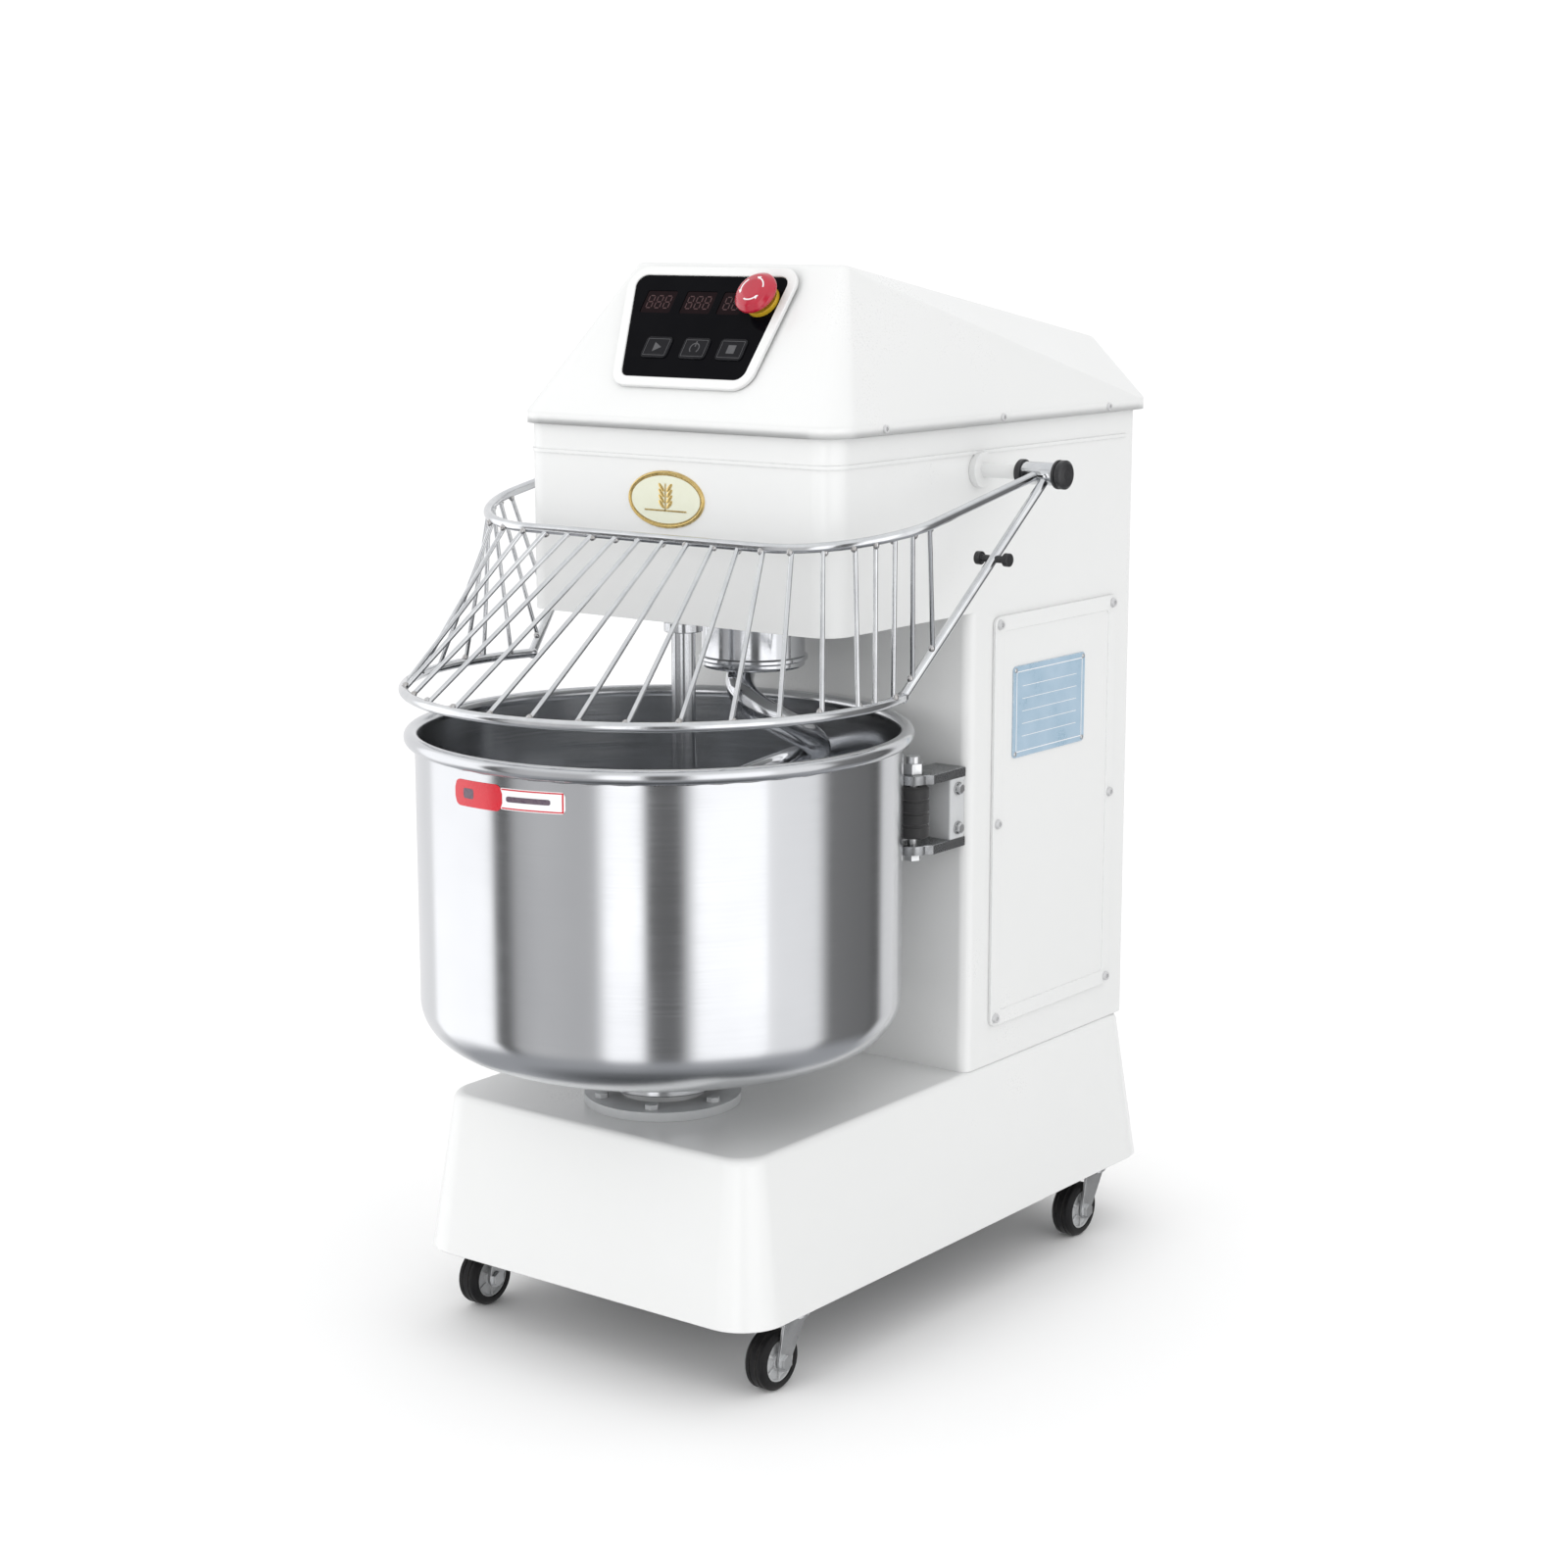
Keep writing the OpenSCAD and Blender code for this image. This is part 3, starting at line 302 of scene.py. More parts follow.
WHEEL_GREY = material(
    "wheel_grey", (0.52, 0.53, 0.54), 0.34, other=(0.44, 0.45, 0.46), patch=90.0, grain=1200.0,
    bump=0.15, depth=0.00006, wear_and_edge_shade=(0.65, 0.65, 0.65), dust_and_corner_shade=(0.22, 0.22, 0.22))
ICON_GREY = material(
    "icon_grey", (0.075, 0.075, 0.08), 0.4, other=(0.055, 0.055, 0.06), patch=200.0,
    grain=2000.0, bump=0.03)
SEGMENT_RED = material(
    "segment_red", (0.045, 0.010, 0.012), 0.25, other=(0.035, 0.008, 0.009), patch=300.0,
    grain=2000.0, bump=0.02)
ENAMEL = material(
    "enamel", (0.76, 0.775, 0.64), 0.22, other=(0.72, 0.73, 0.58), patch=70.0, grain=1500.0,
    bump=0.04, depth=0.00003, coat=0.5, coat_rough=0.05)
STICKER_WHITE = material(
    "sticker_white", (0.84, 0.84, 0.85), 0.26, other=(0.79, 0.79, 0.80), patch=60.0,
    grain=1500.0, bump=0.04, depth=0.00003, coat=0.3)
STICKER_RED = material(
    "sticker_red", (0.60, 0.015, 0.03), 0.26, other=(0.50, 0.012, 0.025), patch=60.0,
    grain=1500.0, bump=0.04, depth=0.00003, coat=0.3)
STICKER_INK = material(
    "sticker_ink", (0.10, 0.07, 0.10), 0.3, other=(0.16, 0.12, 0.14), patch=200.0,
    grain=1500.0, bump=0.03)
BRACKET_STEEL = material(
    "bracket_steel", (0.40, 0.41, 0.42), 0.30, metal=1.0, other=(0.28, 0.285, 0.29), patch=45.0,
    vary=1.0, grain=600.0, bump=0.15, depth=0.0001, rough_vary=0.08, dust_and_corner_shade=(0.10, 0.10, 0.10))
SCREW_STEEL = material(
    "screw_steel", (0.70, 0.705, 0.71), 0.42, metal=0.35, other=(0.62, 0.62, 0.63), patch=120.0,
    grain=900.0, bump=0.1, depth=0.00004, dust_and_corner_shade=(0.3, 0.3, 0.3))
WELD = material(
    "weld", (0.62, 0.62, 0.63), 0.26, metal=1.0, other=(0.46, 0.44, 0.42), patch=260.0,
    vary=1.0, grain=900.0, bump=0.5, depth=0.0002)


# ---------------------------------------------------------------- mesh helpers

def fillet(points, radii, steps=6):
    """The polyline with an arc of the given radius at each inner corner."""
    out = [Vector(points[0])]
    for i in range(1, len(points) - 1):
        a, p, b = (Vector(points[i + k]) for k in (-1, 0, 1))
        r = radii[i] if isinstance(radii, (list, tuple)) else radii
        u, v = (a - p), (b - p)
        angle = u.angle(v)
        if r <= 0 or angle > 3.1:
            out.append(p)
            continue
        cut = min(r / math.tan(angle / 2), u.length * 0.48, v.length * 0.48)
        real = cut * math.tan(angle / 2)
        u, v = u.normalized(), v.normalized()
        hub = p + (u + v).normalized() * (real / math.sin(angle / 2))
        start, end = p + u * cut - hub, p + v * cut - hub
        for k in range(steps + 1):
            w = k / steps
            arm = (start * (1 - w) + end * w).normalized() * real
            out.append(hub + arm)
    out.append(Vector(points[-1]))
    return out


def finish_piece(name, bm, body, mat, replaces=(), sharp=38.0, weighted=True):
    bmesh.ops.recalc_face_normals(bm, faces=bm.faces)
    mesh = bpy.data.meshes.new(name)
    bm.to_mesh(mesh)
    bm.free()
    mesh.materials.append(mat)
    mesh.shade_smooth()
    mesh.set_sharp_from_angle(angle=math.radians(sharp))
    obj = bpy.data.objects.new(name, mesh)
    bpy.context.scene.collection.objects.link(obj)
    if weighted:
        modifier = obj.modifiers.new("weighted", "WEIGHTED_NORMAL")
        modifier.keep_sharp = True
    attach(obj, body)
    if replaces:
        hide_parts(*replaces)
    return obj


def lathe(bm, profile, matrix=None, segments=96):
    """Turns a profile of (radius, height) about Z and places it with matrix."""
    matrix = matrix or Matrix.Identity(4)
    rings = []
    for r, z in profile:
        if r < 1e-7:
            rings.append([bm.verts.new(matrix @ Vector((0, 0, z)))])
        else:
            rings.append([bm.verts.new(matrix @ Vector((
                r * math.cos(2 * math.pi * k / segments),
                r * math.sin(2 * math.pi * k / segments), z))) for k in range(segments)])
    for a, b in zip(rings, rings[1:]):
        for k in range(segments):
            j = (k + 1) % segments
            if len(a) == 1 and len(b) == 1:
                continue
            if len(a) == 1:
                bm.faces.new((a[0], b[k], b[j]))
            elif len(b) == 1:
                bm.faces.new((a[k], a[j], b[0]))
            else:
                bm.faces.new((a[k], a[j], b[j], b[k]))


def turned(bm, corners, radii, matrix, segments, steps=6):
    """Lathes a profile of (radius, height) corners, each rounded by its own radius."""
    lathe(bm, [(p.x, p.y) for p in fillet(corners, radii, steps)], matrix, segments)


def tube(bm, points, radii, sides=24, closed=False):
    """Sweeps a round section along points, turning it as little as possible."""
    n = len(points)
    rings, side = [], None
    for i in range(n):
        before = points[i - 1] if i or closed else points[i]
        after = points[(i + 1) % n] if i < n - 1 or closed else points[i]
        along = (after - before).normalized()
        if side is None:
            side = along.orthogonal().normalized()
        side = (side - along * side.dot(along)).normalized()
        up = along.cross(side)
        r = radii[i] if isinstance(radii, list) else radii
        rings.append([bm.verts.new(points[i] + r * (
            side * math.cos(2 * math.pi * k / sides) + up * math.sin(2 * math.pi * k / sides)))
            for k in range(sides)])
    last = n if closed else n - 1
    for i in range(last):
        a, b = rings[i], rings[(i + 1) % n]
        for k in range(sides):
            j = (k + 1) % sides
            bm.faces.new((a[k], a[j], b[j], b[k]))
    if not closed:
        bm.faces.new(list(reversed(rings[0])))
        bm.faces.new(rings[-1])


def slab(bm, outline, low, high, matrix, edge=0.0, steps=3):
    """Plate from a convex outline, between two heights of matrix's frame, its top edge rounded."""
    middle = Vector((sum(p[0] for p in outline), sum(p[1] for p in outline))) / len(outline)
    n = len(outline)
    normals = []
    for i in range(n):
        a, b = Vector(outline[i - 1]), Vector(outline[(i + 1) % n])
        d = (b - a).normalized()
        out = Vector((d.y, -d.x))
        if out.dot(Vector(outline[i]) - middle) < 0:
            out = -out
        normals.append(out)
    levels = [(0.0, low)]
    if edge:
        for k in range(steps + 1):
            w = math.pi / 2 * k / steps
            levels.append((edge * (1 - math.cos(w)), high - edge * (1 - math.sin(w))))
    else:
        levels.append((0.0, high))
    loops = []
    for inset, z in levels:
        loops.append([bm.verts.new(matrix @ Vector((
            outline[i][0] - normals[i].x * inset, outline[i][1] - normals[i].y * inset, z)))
            for i in range(n)])
    for a, b in zip(loops, loops[1:]):
        for k in range(n):
            j = (k + 1) % n
            bm.faces.new((a[k], a[j], b[j], b[k]))
    bm.faces.new(list(reversed(loops[0])))
    bm.faces.new(loops[-1])


def round_rect(w, d, r, steps=6, at=(0, 0)):
    points = []
    for sx, sy, start in ((1, 1, 0), (-1, 1, 90), (-1, -1, 180), (1, -1, 270)):
        for k in range(steps + 1):
            a = math.radians(start + 90 * k / steps)
            points.append((at[0] + sx * (w / 2 - r) + r * math.cos(a),
                           at[1] + sy * (d / 2 - r) + r * math.sin(a)))
    return points


def ellipse(rx, ry, n=72):
    return [(rx * math.cos(2 * math.pi * k / n), ry * math.sin(2 * math.pi * k / n))
            for k in range(n)]


def blob(bm, at, rx, ry, rz, turn=None):
    """Small rounded bead."""
    matrix = Matrix.Translation(at) @ (turn.to_4x4() if turn else Matrix.Identity(4)) \
        @ Matrix.Diagonal((rx, ry, rz, 1))
    bmesh.ops.create_icosphere(bm, subdivisions=2, radius=1.0, matrix=matrix)


# ---------------------------------------------------------------- CAD nodes that stay

def smoothing_group():
    """Node group that joins a CAD mesh's split corners and shades it smooth."""
    group = bpy.data.node_groups.new("join_and_smooth", "GeometryNodeTree")
    group.interface.new_socket("Geometry", in_out="INPUT", socket_type="NodeSocketGeometry")
    group.interface.new_socket("Geometry", in_out="OUTPUT", socket_type="NodeSocketGeometry")
    start = group.nodes.new("NodeGroupInput")
    weld = group.nodes.new("GeometryNodeMergeByDistance")
    weld.inputs["Distance"].default_value = 2e-6
    smooth = group.nodes.new("GeometryNodeSetShadeSmooth")
    end = group.nodes.new("NodeGroupOutput")
    group.links.new(start.outputs[0], weld.inputs[0])
    group.links.new(weld.outputs[0], smooth.inputs[0])
    group.links.new(smooth.outputs[0], end.inputs[0])
    return group


JOIN = smoothing_group()
# rounding of the CAD nodes' edges, in millimetres
EDGE = {"body_shell": 1.6, "side_panel": 0.8, "rating_plate": 0.3, "rear_cover": 0.6,
        "panel_bezel": 1.0, "control_panel": 0.5, "display_windows": 0.3, "key_left": 0.5,
        "key_middle": 0.5, "key_right": 0.5, "estop_collar": 0.5, "roller_brackets": 1.2,
        "bowl_bearing_housing": 1.2, "bowl_hub": 1.2, "chassis_frame": 1.5,
        "caster_plates": 0.5, "breaker_bar": 0.8, "guard_pivot_pins": 0.5, "roller_pins": 0.5,
        "cover_screws": 0.25, "guard_stop_pins": 0.5, "cable_gland": 0.5}
for name, node in NODES.items():
    node.data.materials.clear()
    node.data.materials.append(SCREW_STEEL if name == "cover_screws" else MAT[SLOT_OF[name]])
    joined = node.modifiers.new("join", "NODES")
    joined.node_group = JOIN
    width = EDGE.get(name, 0.5 if name.startswith("fork") else 0.0)
    if width:
        flat = node.modifiers.new("flat", "DECIMATE")
        flat.decimate_type = "DISSOLVE"
        flat.angle_limit = math.radians(0.6)
        bevel = node.modifiers.new("edge", "BEVEL")
        bevel.width = width * MM
        bevel.segments = 3
        bevel.limit_method = "ANGLE"
        bevel.angle_limit = math.radians(34)
    weighted = node.modifiers.new("weighted", "WEIGHTED_NORMAL")
    weighted.keep_sharp = False

# ---------------------------------------------------------------- bowl

low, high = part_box("bowl")
rim_low, rim_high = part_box("bowl_rim")
bowl_r = (high.x - low.x) / 2
rim_r = (rim_high.x - rim_low.x) / 2
roll_r = 6 * MM
sheet = 2 * MM
corner_a, corner_b = 50 * MM, 41 * MM
on_axis = Matrix.Translation((BOWL_AXIS.x, BOWL_AXIS.y, 0))


def bowl_corner(inset, steps=22):
    return [(bowl_r - corner_a + (corner_a - inset) * math.sin(math.pi / 2 * k / steps),
             low.z + corner_b - (corner_b - inset) * math.cos(math.pi / 2 * k / steps))
            for k in range(steps + 1)]


roll_z = rim_high.z - roll_r
outer = [(0, low.z)] + [(r, low.z) for r in (0.05, 0.1)] + bowl_corner(0)
outer += [(bowl_r, low.z + corner_b + (roll_z - low.z - corner_b) * k / 24) for k in range(1, 25)]
inner = [(bowl_r - sheet, z) for r, z in reversed(outer[-25:])]
inner += list(reversed(bowl_corner(sheet))) + [(r, low.z + sheet) for r in (0.1, 0.05, 0)]
bm = bmesh.new()
lathe(bm, outer + inner, on_axis, 192)
finish_piece("bowl_wall", bm, "bowl_group", MAT["stainless"], ["bowl"], sharp=60)
bm = bmesh.new()
roll = [(rim_r - roll_r + roll_r * math.cos(math.pi / 12 * k),
         roll_z + roll_r * math.sin(math.pi / 12 * k)) for k in range(25)]
lathe(bm, roll[:-1] + [roll[0]], on_axis, 192)
bmesh.ops.remove_doubles(bm, verts=bm.verts, dist=1e-6)
finish_piece("bowl_rim_roll", bm, "bowl_group", MAT["stainless"], ["bowl_rim"])
# bead of weld under the roll
bm = bmesh.new()
bead = []
for k in range(360):
    a = math.radians(k)
    bead.append(Vector((BOWL_AXIS.x + (bowl_r + 0.5 * MM) * math.cos(a),
                        BOWL_AXIS.y + (bowl_r + 0.5 * MM) * math.sin(a), roll_z - 5.6 * MM)))
tube(bm, bead, [(1.5 + 0.25 * math.sin(k * 0.9)) * MM for k in range(360)], 10, closed=True)
finish_piece("bowl_rim_weld", bm, "bowl_group", WELD)


def on_bowl(bm, s0, s1, z0, z1, lift, r=0.0, tilt=0.0, columns=28):
    """Thin patch on the bowl's wall between two azimuths, in degrees, with rounded ends."""
    radius = bowl_r + lift
    previous = None
    for k in range(columns + 1):
        s = s0 + (s1 - s0) * k / columns
        run = math.radians(s - s0) * radius
        left = min(run, math.radians(s1 - s) * radius)
        cut = r - math.sqrt(max(0.0, r * r - max(0.0, r - left) ** 2)) if r else 0.0
        a = math.radians(s)
        rise = tilt * run
        column = [bm.verts.new((BOWL_AXIS.x + radius * math.cos(a),
                                BOWL_AXIS.y + radius * math.sin(a), z + rise))
                  for z in (z0 + cut, z1 - cut)]
        if previous:
            bm.faces.new((previous[0], column[0], column[1], previous[1]))
        previous = column


# sticker without any lettering: red tab, white strip, dark bar
STICKER_Z = 0.489
STICKER_TILT = 0.02
STICKER_START = -103.2
for name, mat, parts in (
        ("bowl_sticker_base", STICKER_WHITE,
         [(-88.5, -71.4, -0.0085, 0.0085, 0.15, 0.003)]),
        ("bowl_sticker_tab", STICKER_RED,
         [(STICKER_START, -87.6, -0.0105, 0.0105, 0.22, 0.007)]),
        ("bowl_sticker_lines", STICKER_RED,
         [(-87.8, -71.8, -0.0079, -0.0068, 0.25, 0.0), (-87.8, -71.8, 0.0068, 0.0079, 0.25, 0.0),
          (-72.2, -71.8, -0.0068, 0.0068, 0.25, 0.0)]),
        ("bowl_sticker_bar", STICKER_INK,
         [(-100.0, -96.5, -0.004, 0.004, 0.3, 0.002),
          (-86.5, -75.0, -0.0022, 0.0022, 0.3, 0.001)])):
    bm = bmesh.new()
    for s0, s1, z0, z1, lift, r in parts:
        rise = STICKER_TILT * math.radians(s0 - STICKER_START) * bowl_r
        on_bowl(bm, s0, s1, STICKER_Z + z0 + rise, STICKER_Z + z1 + rise, lift * MM, r,
                STICKER_TILT)
    finish_piece(name, bm, "bowl_group", mat, weighted=False)

# ---------------------------------------------------------------- spiral hook and its hub

hub_low, hub_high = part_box("hook_shaft")
hub_r = 44 * MM
hub_top = 597 * MM
hub_base = hub_low.z
on_hook = Matrix.Translation((HOOK_AXIS.x, HOOK_AXIS.y, 0))
bm = bmesh.new()
turned(
    bm,
    [(0, hub_base), (hub_r, hub_base), (hub_r, hub_base + 6 * MM),
     (hub_r + 2.5 * MM, hub_base + 6 * MM), (hub_r + 2.5 * MM, hub_base + 10 * MM),
     (hub_r, hub_base + 10 * MM), (hub_r, hub_top), (18 * MM, hub_top),
     (15 * MM, hub_top + 0.5 * MM), (15 * MM, hub_high.z - 1 * MM), (14 * MM, hub_high.z),
     (0, hub_high.z)],
    [0, 3 * MM, 0.8 * MM, 1 * MM, 1 * MM, 0.8 * MM, 3 * MM, 0, 0, 0, 0, 0], on_hook, 128)
finish_piece("hook_hub", bm, "hook_group", MAT["hook_steel"], ["hook_shaft"])
# three countersunk bolts under the hub
bm = bmesh.new()
for k in range(3):
    a = math.radians(120 * k + 30)
    at = Matrix.Translation((HOOK_AXIS.x + 30 * MM * math.cos(a),
                             HOOK_AXIS.y + 30 * MM * math.sin(a), hub_base)) \
        @ Matrix.Rotation(math.pi, 4, "X")
    lathe(bm, [(0, -2 * MM), (2.2 * MM, -2 * MM), (2.6 * MM, 0.9 * MM), (5.2 * MM, 1.4 * MM),
               (6 * MM, 0.6 * MM), (6 * MM, -1 * MM)], at, 32)
finish_piece("hook_hub_bolts", bm, "hook_group", MAT["zinc_steel"])


def ease(x):
    x = min(1.0, max(0.0, x))
    return x * x * (3 - 2 * x)


HELIX_R, ROD_R, HOOK_END = 54 * MM, 12 * MM, 286 * MM
hook_start = hub_top - 20 * MM


def hook_point(u):
    angle = math.radians(-90 + 520 * ease(u * 1.04 - 0.02))
    radius = HELIX_R * ease(u / 0.22) - 12 * MM * ease((u - 0.78) / 0.22)
    height = hook_start - (hook_start - HOOK_END) * (0.93 * u + 0.07 * ease(u))
    return Vector((HOOK_AXIS.x + radius * math.cos(angle),
                   HOOK_AXIS.y + radius * math.sin(angle), height))


steps = 420
line = [hook_point(k / steps) for k in range(steps + 1)]
radii = [ROD_R * (1 - 0.42 * ease((k / steps - 0.86) / 0.14)) for k in range(steps + 1)]
tip = (line[-1] - line[-2]).normalized()
tip_r = radii[-1]
for k in range(1, 9):
    w = math.pi / 2 * k / 8
    line.append(line[steps] + tip * 5 * MM * math.sin(w))
    radii.append(max(0.0004, tip_r * math.cos(w)))
bm = bmesh.new()
tube(bm, line, radii, 32)
finish_piece("hook_rod", bm, "hook_group", MAT["hook_steel"], ["spiral_hook"],
             sharp=60)

# ---------------------------------------------------------------- head cover

low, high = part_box("head_cover")
SHIFT = BOWL_AXIS.y
COVER = {"top_y": 102 * MM + SHIFT, "top_z": high.z, "top_hw": 112 * MM,
         "rear_y": 484 * MM + SHIFT, "rear_z": 822 * MM, "rear_hw": 118 * MM, "edge": 8 * MM}
seam_top = low.z + 10 * MM
bm = bmesh.new()
cover_w, cover_d = high.x - low.x, high.y - low.y
cover_mid = (low.y + high.y) / 2
for z in (low.z, seam_top):
    for x, y in round_rect(cover_w, cover_d, 28 * MM, 16, (0, cover_mid)):
        bm.verts.new((x, y, z))
e = COVER["edge"]
for s in (-1, 1):
    for hub in (Vector((s * (COVER["top_hw"] - e), COVER["top_y"] + e, COVER["top_z"] - e)),
                Vector((s * (COVER["rear_hw"] - e), COVER["rear_y"] - e, COVER["rear_z"] - e))):
        bmesh.ops.create_uvsphere(bm, u_segments=48, v_segments=32, radius=e,
                                  matrix=Matrix.Translation(hub))
hull = bmesh.ops.convex_hull(bm, input=list(bm.verts))
bmesh.ops.delete(bm, geom=[v for v in bm.verts if not v.link_faces
                           or v in set(g for g in hull["geom_interior"])], context="VERTS")
keep = {g for g in hull["geom"] if isinstance(g, bmesh.types.BMFace)}
bmesh.ops.delete(bm, geom=[f for f in bm.faces if f not in keep], context="FACES")
bmesh.ops.delete(bm, geom=[v for v in bm.verts if not v.link_faces], context="VERTS")
bmesh.ops.dissolve_limit(bm, angle_limit=math.radians(0.4), verts=bm.verts, edges=bm.edges)
under = [f for f in bm.faces if f.calc_center_median().z < low.z + 1e-5]
bmesh.ops.inset_region(bm, faces=under, thickness=5.7 * MM, depth=0.0)
bmesh.ops.translate(bm, verts=list({v for f in under for v in f.verts}), vec=(0, 0, 9 * MM))
finish_piece("head_cover_skin", bm, "machine", MAT["white_paint"],
             ["head_cover"], sharp=180)

# ---------------------------------------------------------------- base skirt

low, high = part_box("base_shell")
base_mid = (low.y + high.y) / 2
FLARE = 19 * MM
bm = bmesh.new()
base_w, base_d = high.x - low.x, high.y - low.y
fall = high.z - low.z
loops = []
levels = [(9 * MM, low.z + 14 * MM, 36 * MM), (3 * MM, low.z + 14 * MM, 38 * MM),
          (3 * MM, low.z + 0.6 * MM, 38 * MM), (2.2 * MM, low.z, 38 * MM),
          (0.8 * MM, low.z, 39.5 * MM), (0.0, low.z + 0.8 * MM, 40 * MM)]
steps = 10
for k in range(1, steps + 1):
    w = k / steps
    levels.append((FLARE * w * 0.955, low.z + fall * w * 0.955, (40 - 14 * w) * MM))
edge_r = 6 * MM
for k in range(1, 7):
    w = math.pi / 2 * k / 6
    levels.append((FLARE + edge_r * (1 - math.cos(w)) - 0.4 * MM,
                   high.z - edge_r * (1 - math.sin(w)), 26 * MM))
for inset, z, r in levels:
    loops.append([bm.verts.new((x, y, z)) for x, y in round_rect(
        base_w - 2 * inset, base_d - 2 * inset, r, 14, (0, base_mid))])
for a, b in zip(loops, loops[1:]):
    for k in range(len(a)):
        j = (k + 1) % len(a)
        bm.faces.new((a[k], a[j], b[j], b[k]))
bm.faces.new(loops[-1])
finish_piece("base_skirt", bm, "machine", MAT["white_paint"], ["base_shell"],
             sharp=50)

# ---------------------------------------------------------------- guard welds and knobs

bm = bmesh.new()
for points in islands("guard_wires"):
    mean = sum(points, Vector()) / len(points)
    far = max(points, key=lambda p: (p - mean).length)
    along = (far - mean).normalized()
    reach = max((p - mean).dot(along) for p in points)
    turn = along.to_track_quat("Z", "Y").to_matrix()
    for s in (-1, 1):
        blob(bm, mean + along * s * (reach - 3.4 * MM), 2.7 * MM, 2.7 * MM, 3.6 * MM, turn)
finish_piece("guard_welds", bm, "guard", WELD, sharp=80, weighted=False)

bm = bmesh.new()
for points in islands("guard_knobs"):
    mean = sum(points, Vector()) / len(points)
    s = 1 if mean.x > 0 else -1
    x0, x1 = min(abs(p.x) for p in points), max(abs(p.x) for p in points)
    place = Matrix.Translation((s * x0, mean.y, mean.z)) @ Matrix.Rotation(s * math.pi / 2, 4, "Y")
    h = x1 - x0
    turned(bm, [(6 * MM, 0), (12 * MM, 0), (12 * MM, 2 * MM), (10.6 * MM, 2.6 * MM),
                (10.6 * MM, 3.6 * MM), (12 * MM, 4.2 * MM), (12 * MM, h - 1.5 * MM),
                (9.5 * MM, h), (4 * MM, h - 0.8 * MM), (0, h - 0.8 * MM)],
           [0, 0.6 * MM, 0.2 * MM, 0.3 * MM, 0.3 * MM, 0.2 * MM, 1 * MM, 1 * MM, 1 * MM, 0],
           place, 72, 4)
finish_piece("guard_knob_caps", bm, "machine", MAT["black_plastic"],
             ["guard_knobs"])

# plastic spacer on each pivot pin, inside the guard's eye
SPACER_END, SPACER_T, PIN_R = 208.4 * MM, 6 * MM, 6.1 * MM
bm = bmesh.new()
pivot = centre("guard_knobs")
for s in (-1, 1):
    place = Matrix.Translation((s * (SPACER_END - SPACER_T), pivot.y, pivot.z)) \
        @ Matrix.Rotation(s * math.pi / 2, 4, "Y")
    turned(bm, [(PIN_R, 0), (9.5 * MM, 0), (11 * MM, 1.5 * MM), (11 * MM, SPACER_T),
                (PIN_R, SPACER_T)], [0, 0.8 * MM, 0.8 * MM, 1 * MM, 0], place, 72, 4)
finish_piece("guard_spacers", bm, "machine", MAT["black_plastic"])

# ---------------------------------------------------------------- bowl guide rollers

for side in ("left", "right"):
    low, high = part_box("roller_" + side)
    mid = (low + high) / 2
    r, h = (high.x - low.x) / 2, high.z - low.z
    corners = [(5 * MM, 0), (r, 0)]
    for k in range(1, 4):
        z = h * k / 4
        corners += [(r, z - 1.6 * MM), (r - 1.2 * MM, z - 0.8 * MM), (r - 1.2 * MM, z + 0.8 * MM),
                    (r, z + 1.6 * MM)]
    corners += [(r, h), (5 * MM, h), (4.1 * MM, h - 0.6 * MM), (4.1 * MM, 0.6 * MM), (5 * MM, 0)]
    radii = [0, 2 * MM] + [0.5 * MM] * 12 + [2 * MM, 0.4 * MM, 0, 0, 0]
    bm = bmesh.new()
    turned(bm, corners, radii, Matrix.Translation((mid.x, mid.y, low.z)), 72, 4)
    bmesh.ops.remove_doubles(bm, verts=bm.verts, dist=1e-7)
    finish_piece("roller_tyre_" + side, bm, "roller_" + side, MAT["rubber"],
                 ["roller_" + side])

# ---------------------------------------------------------------- casters

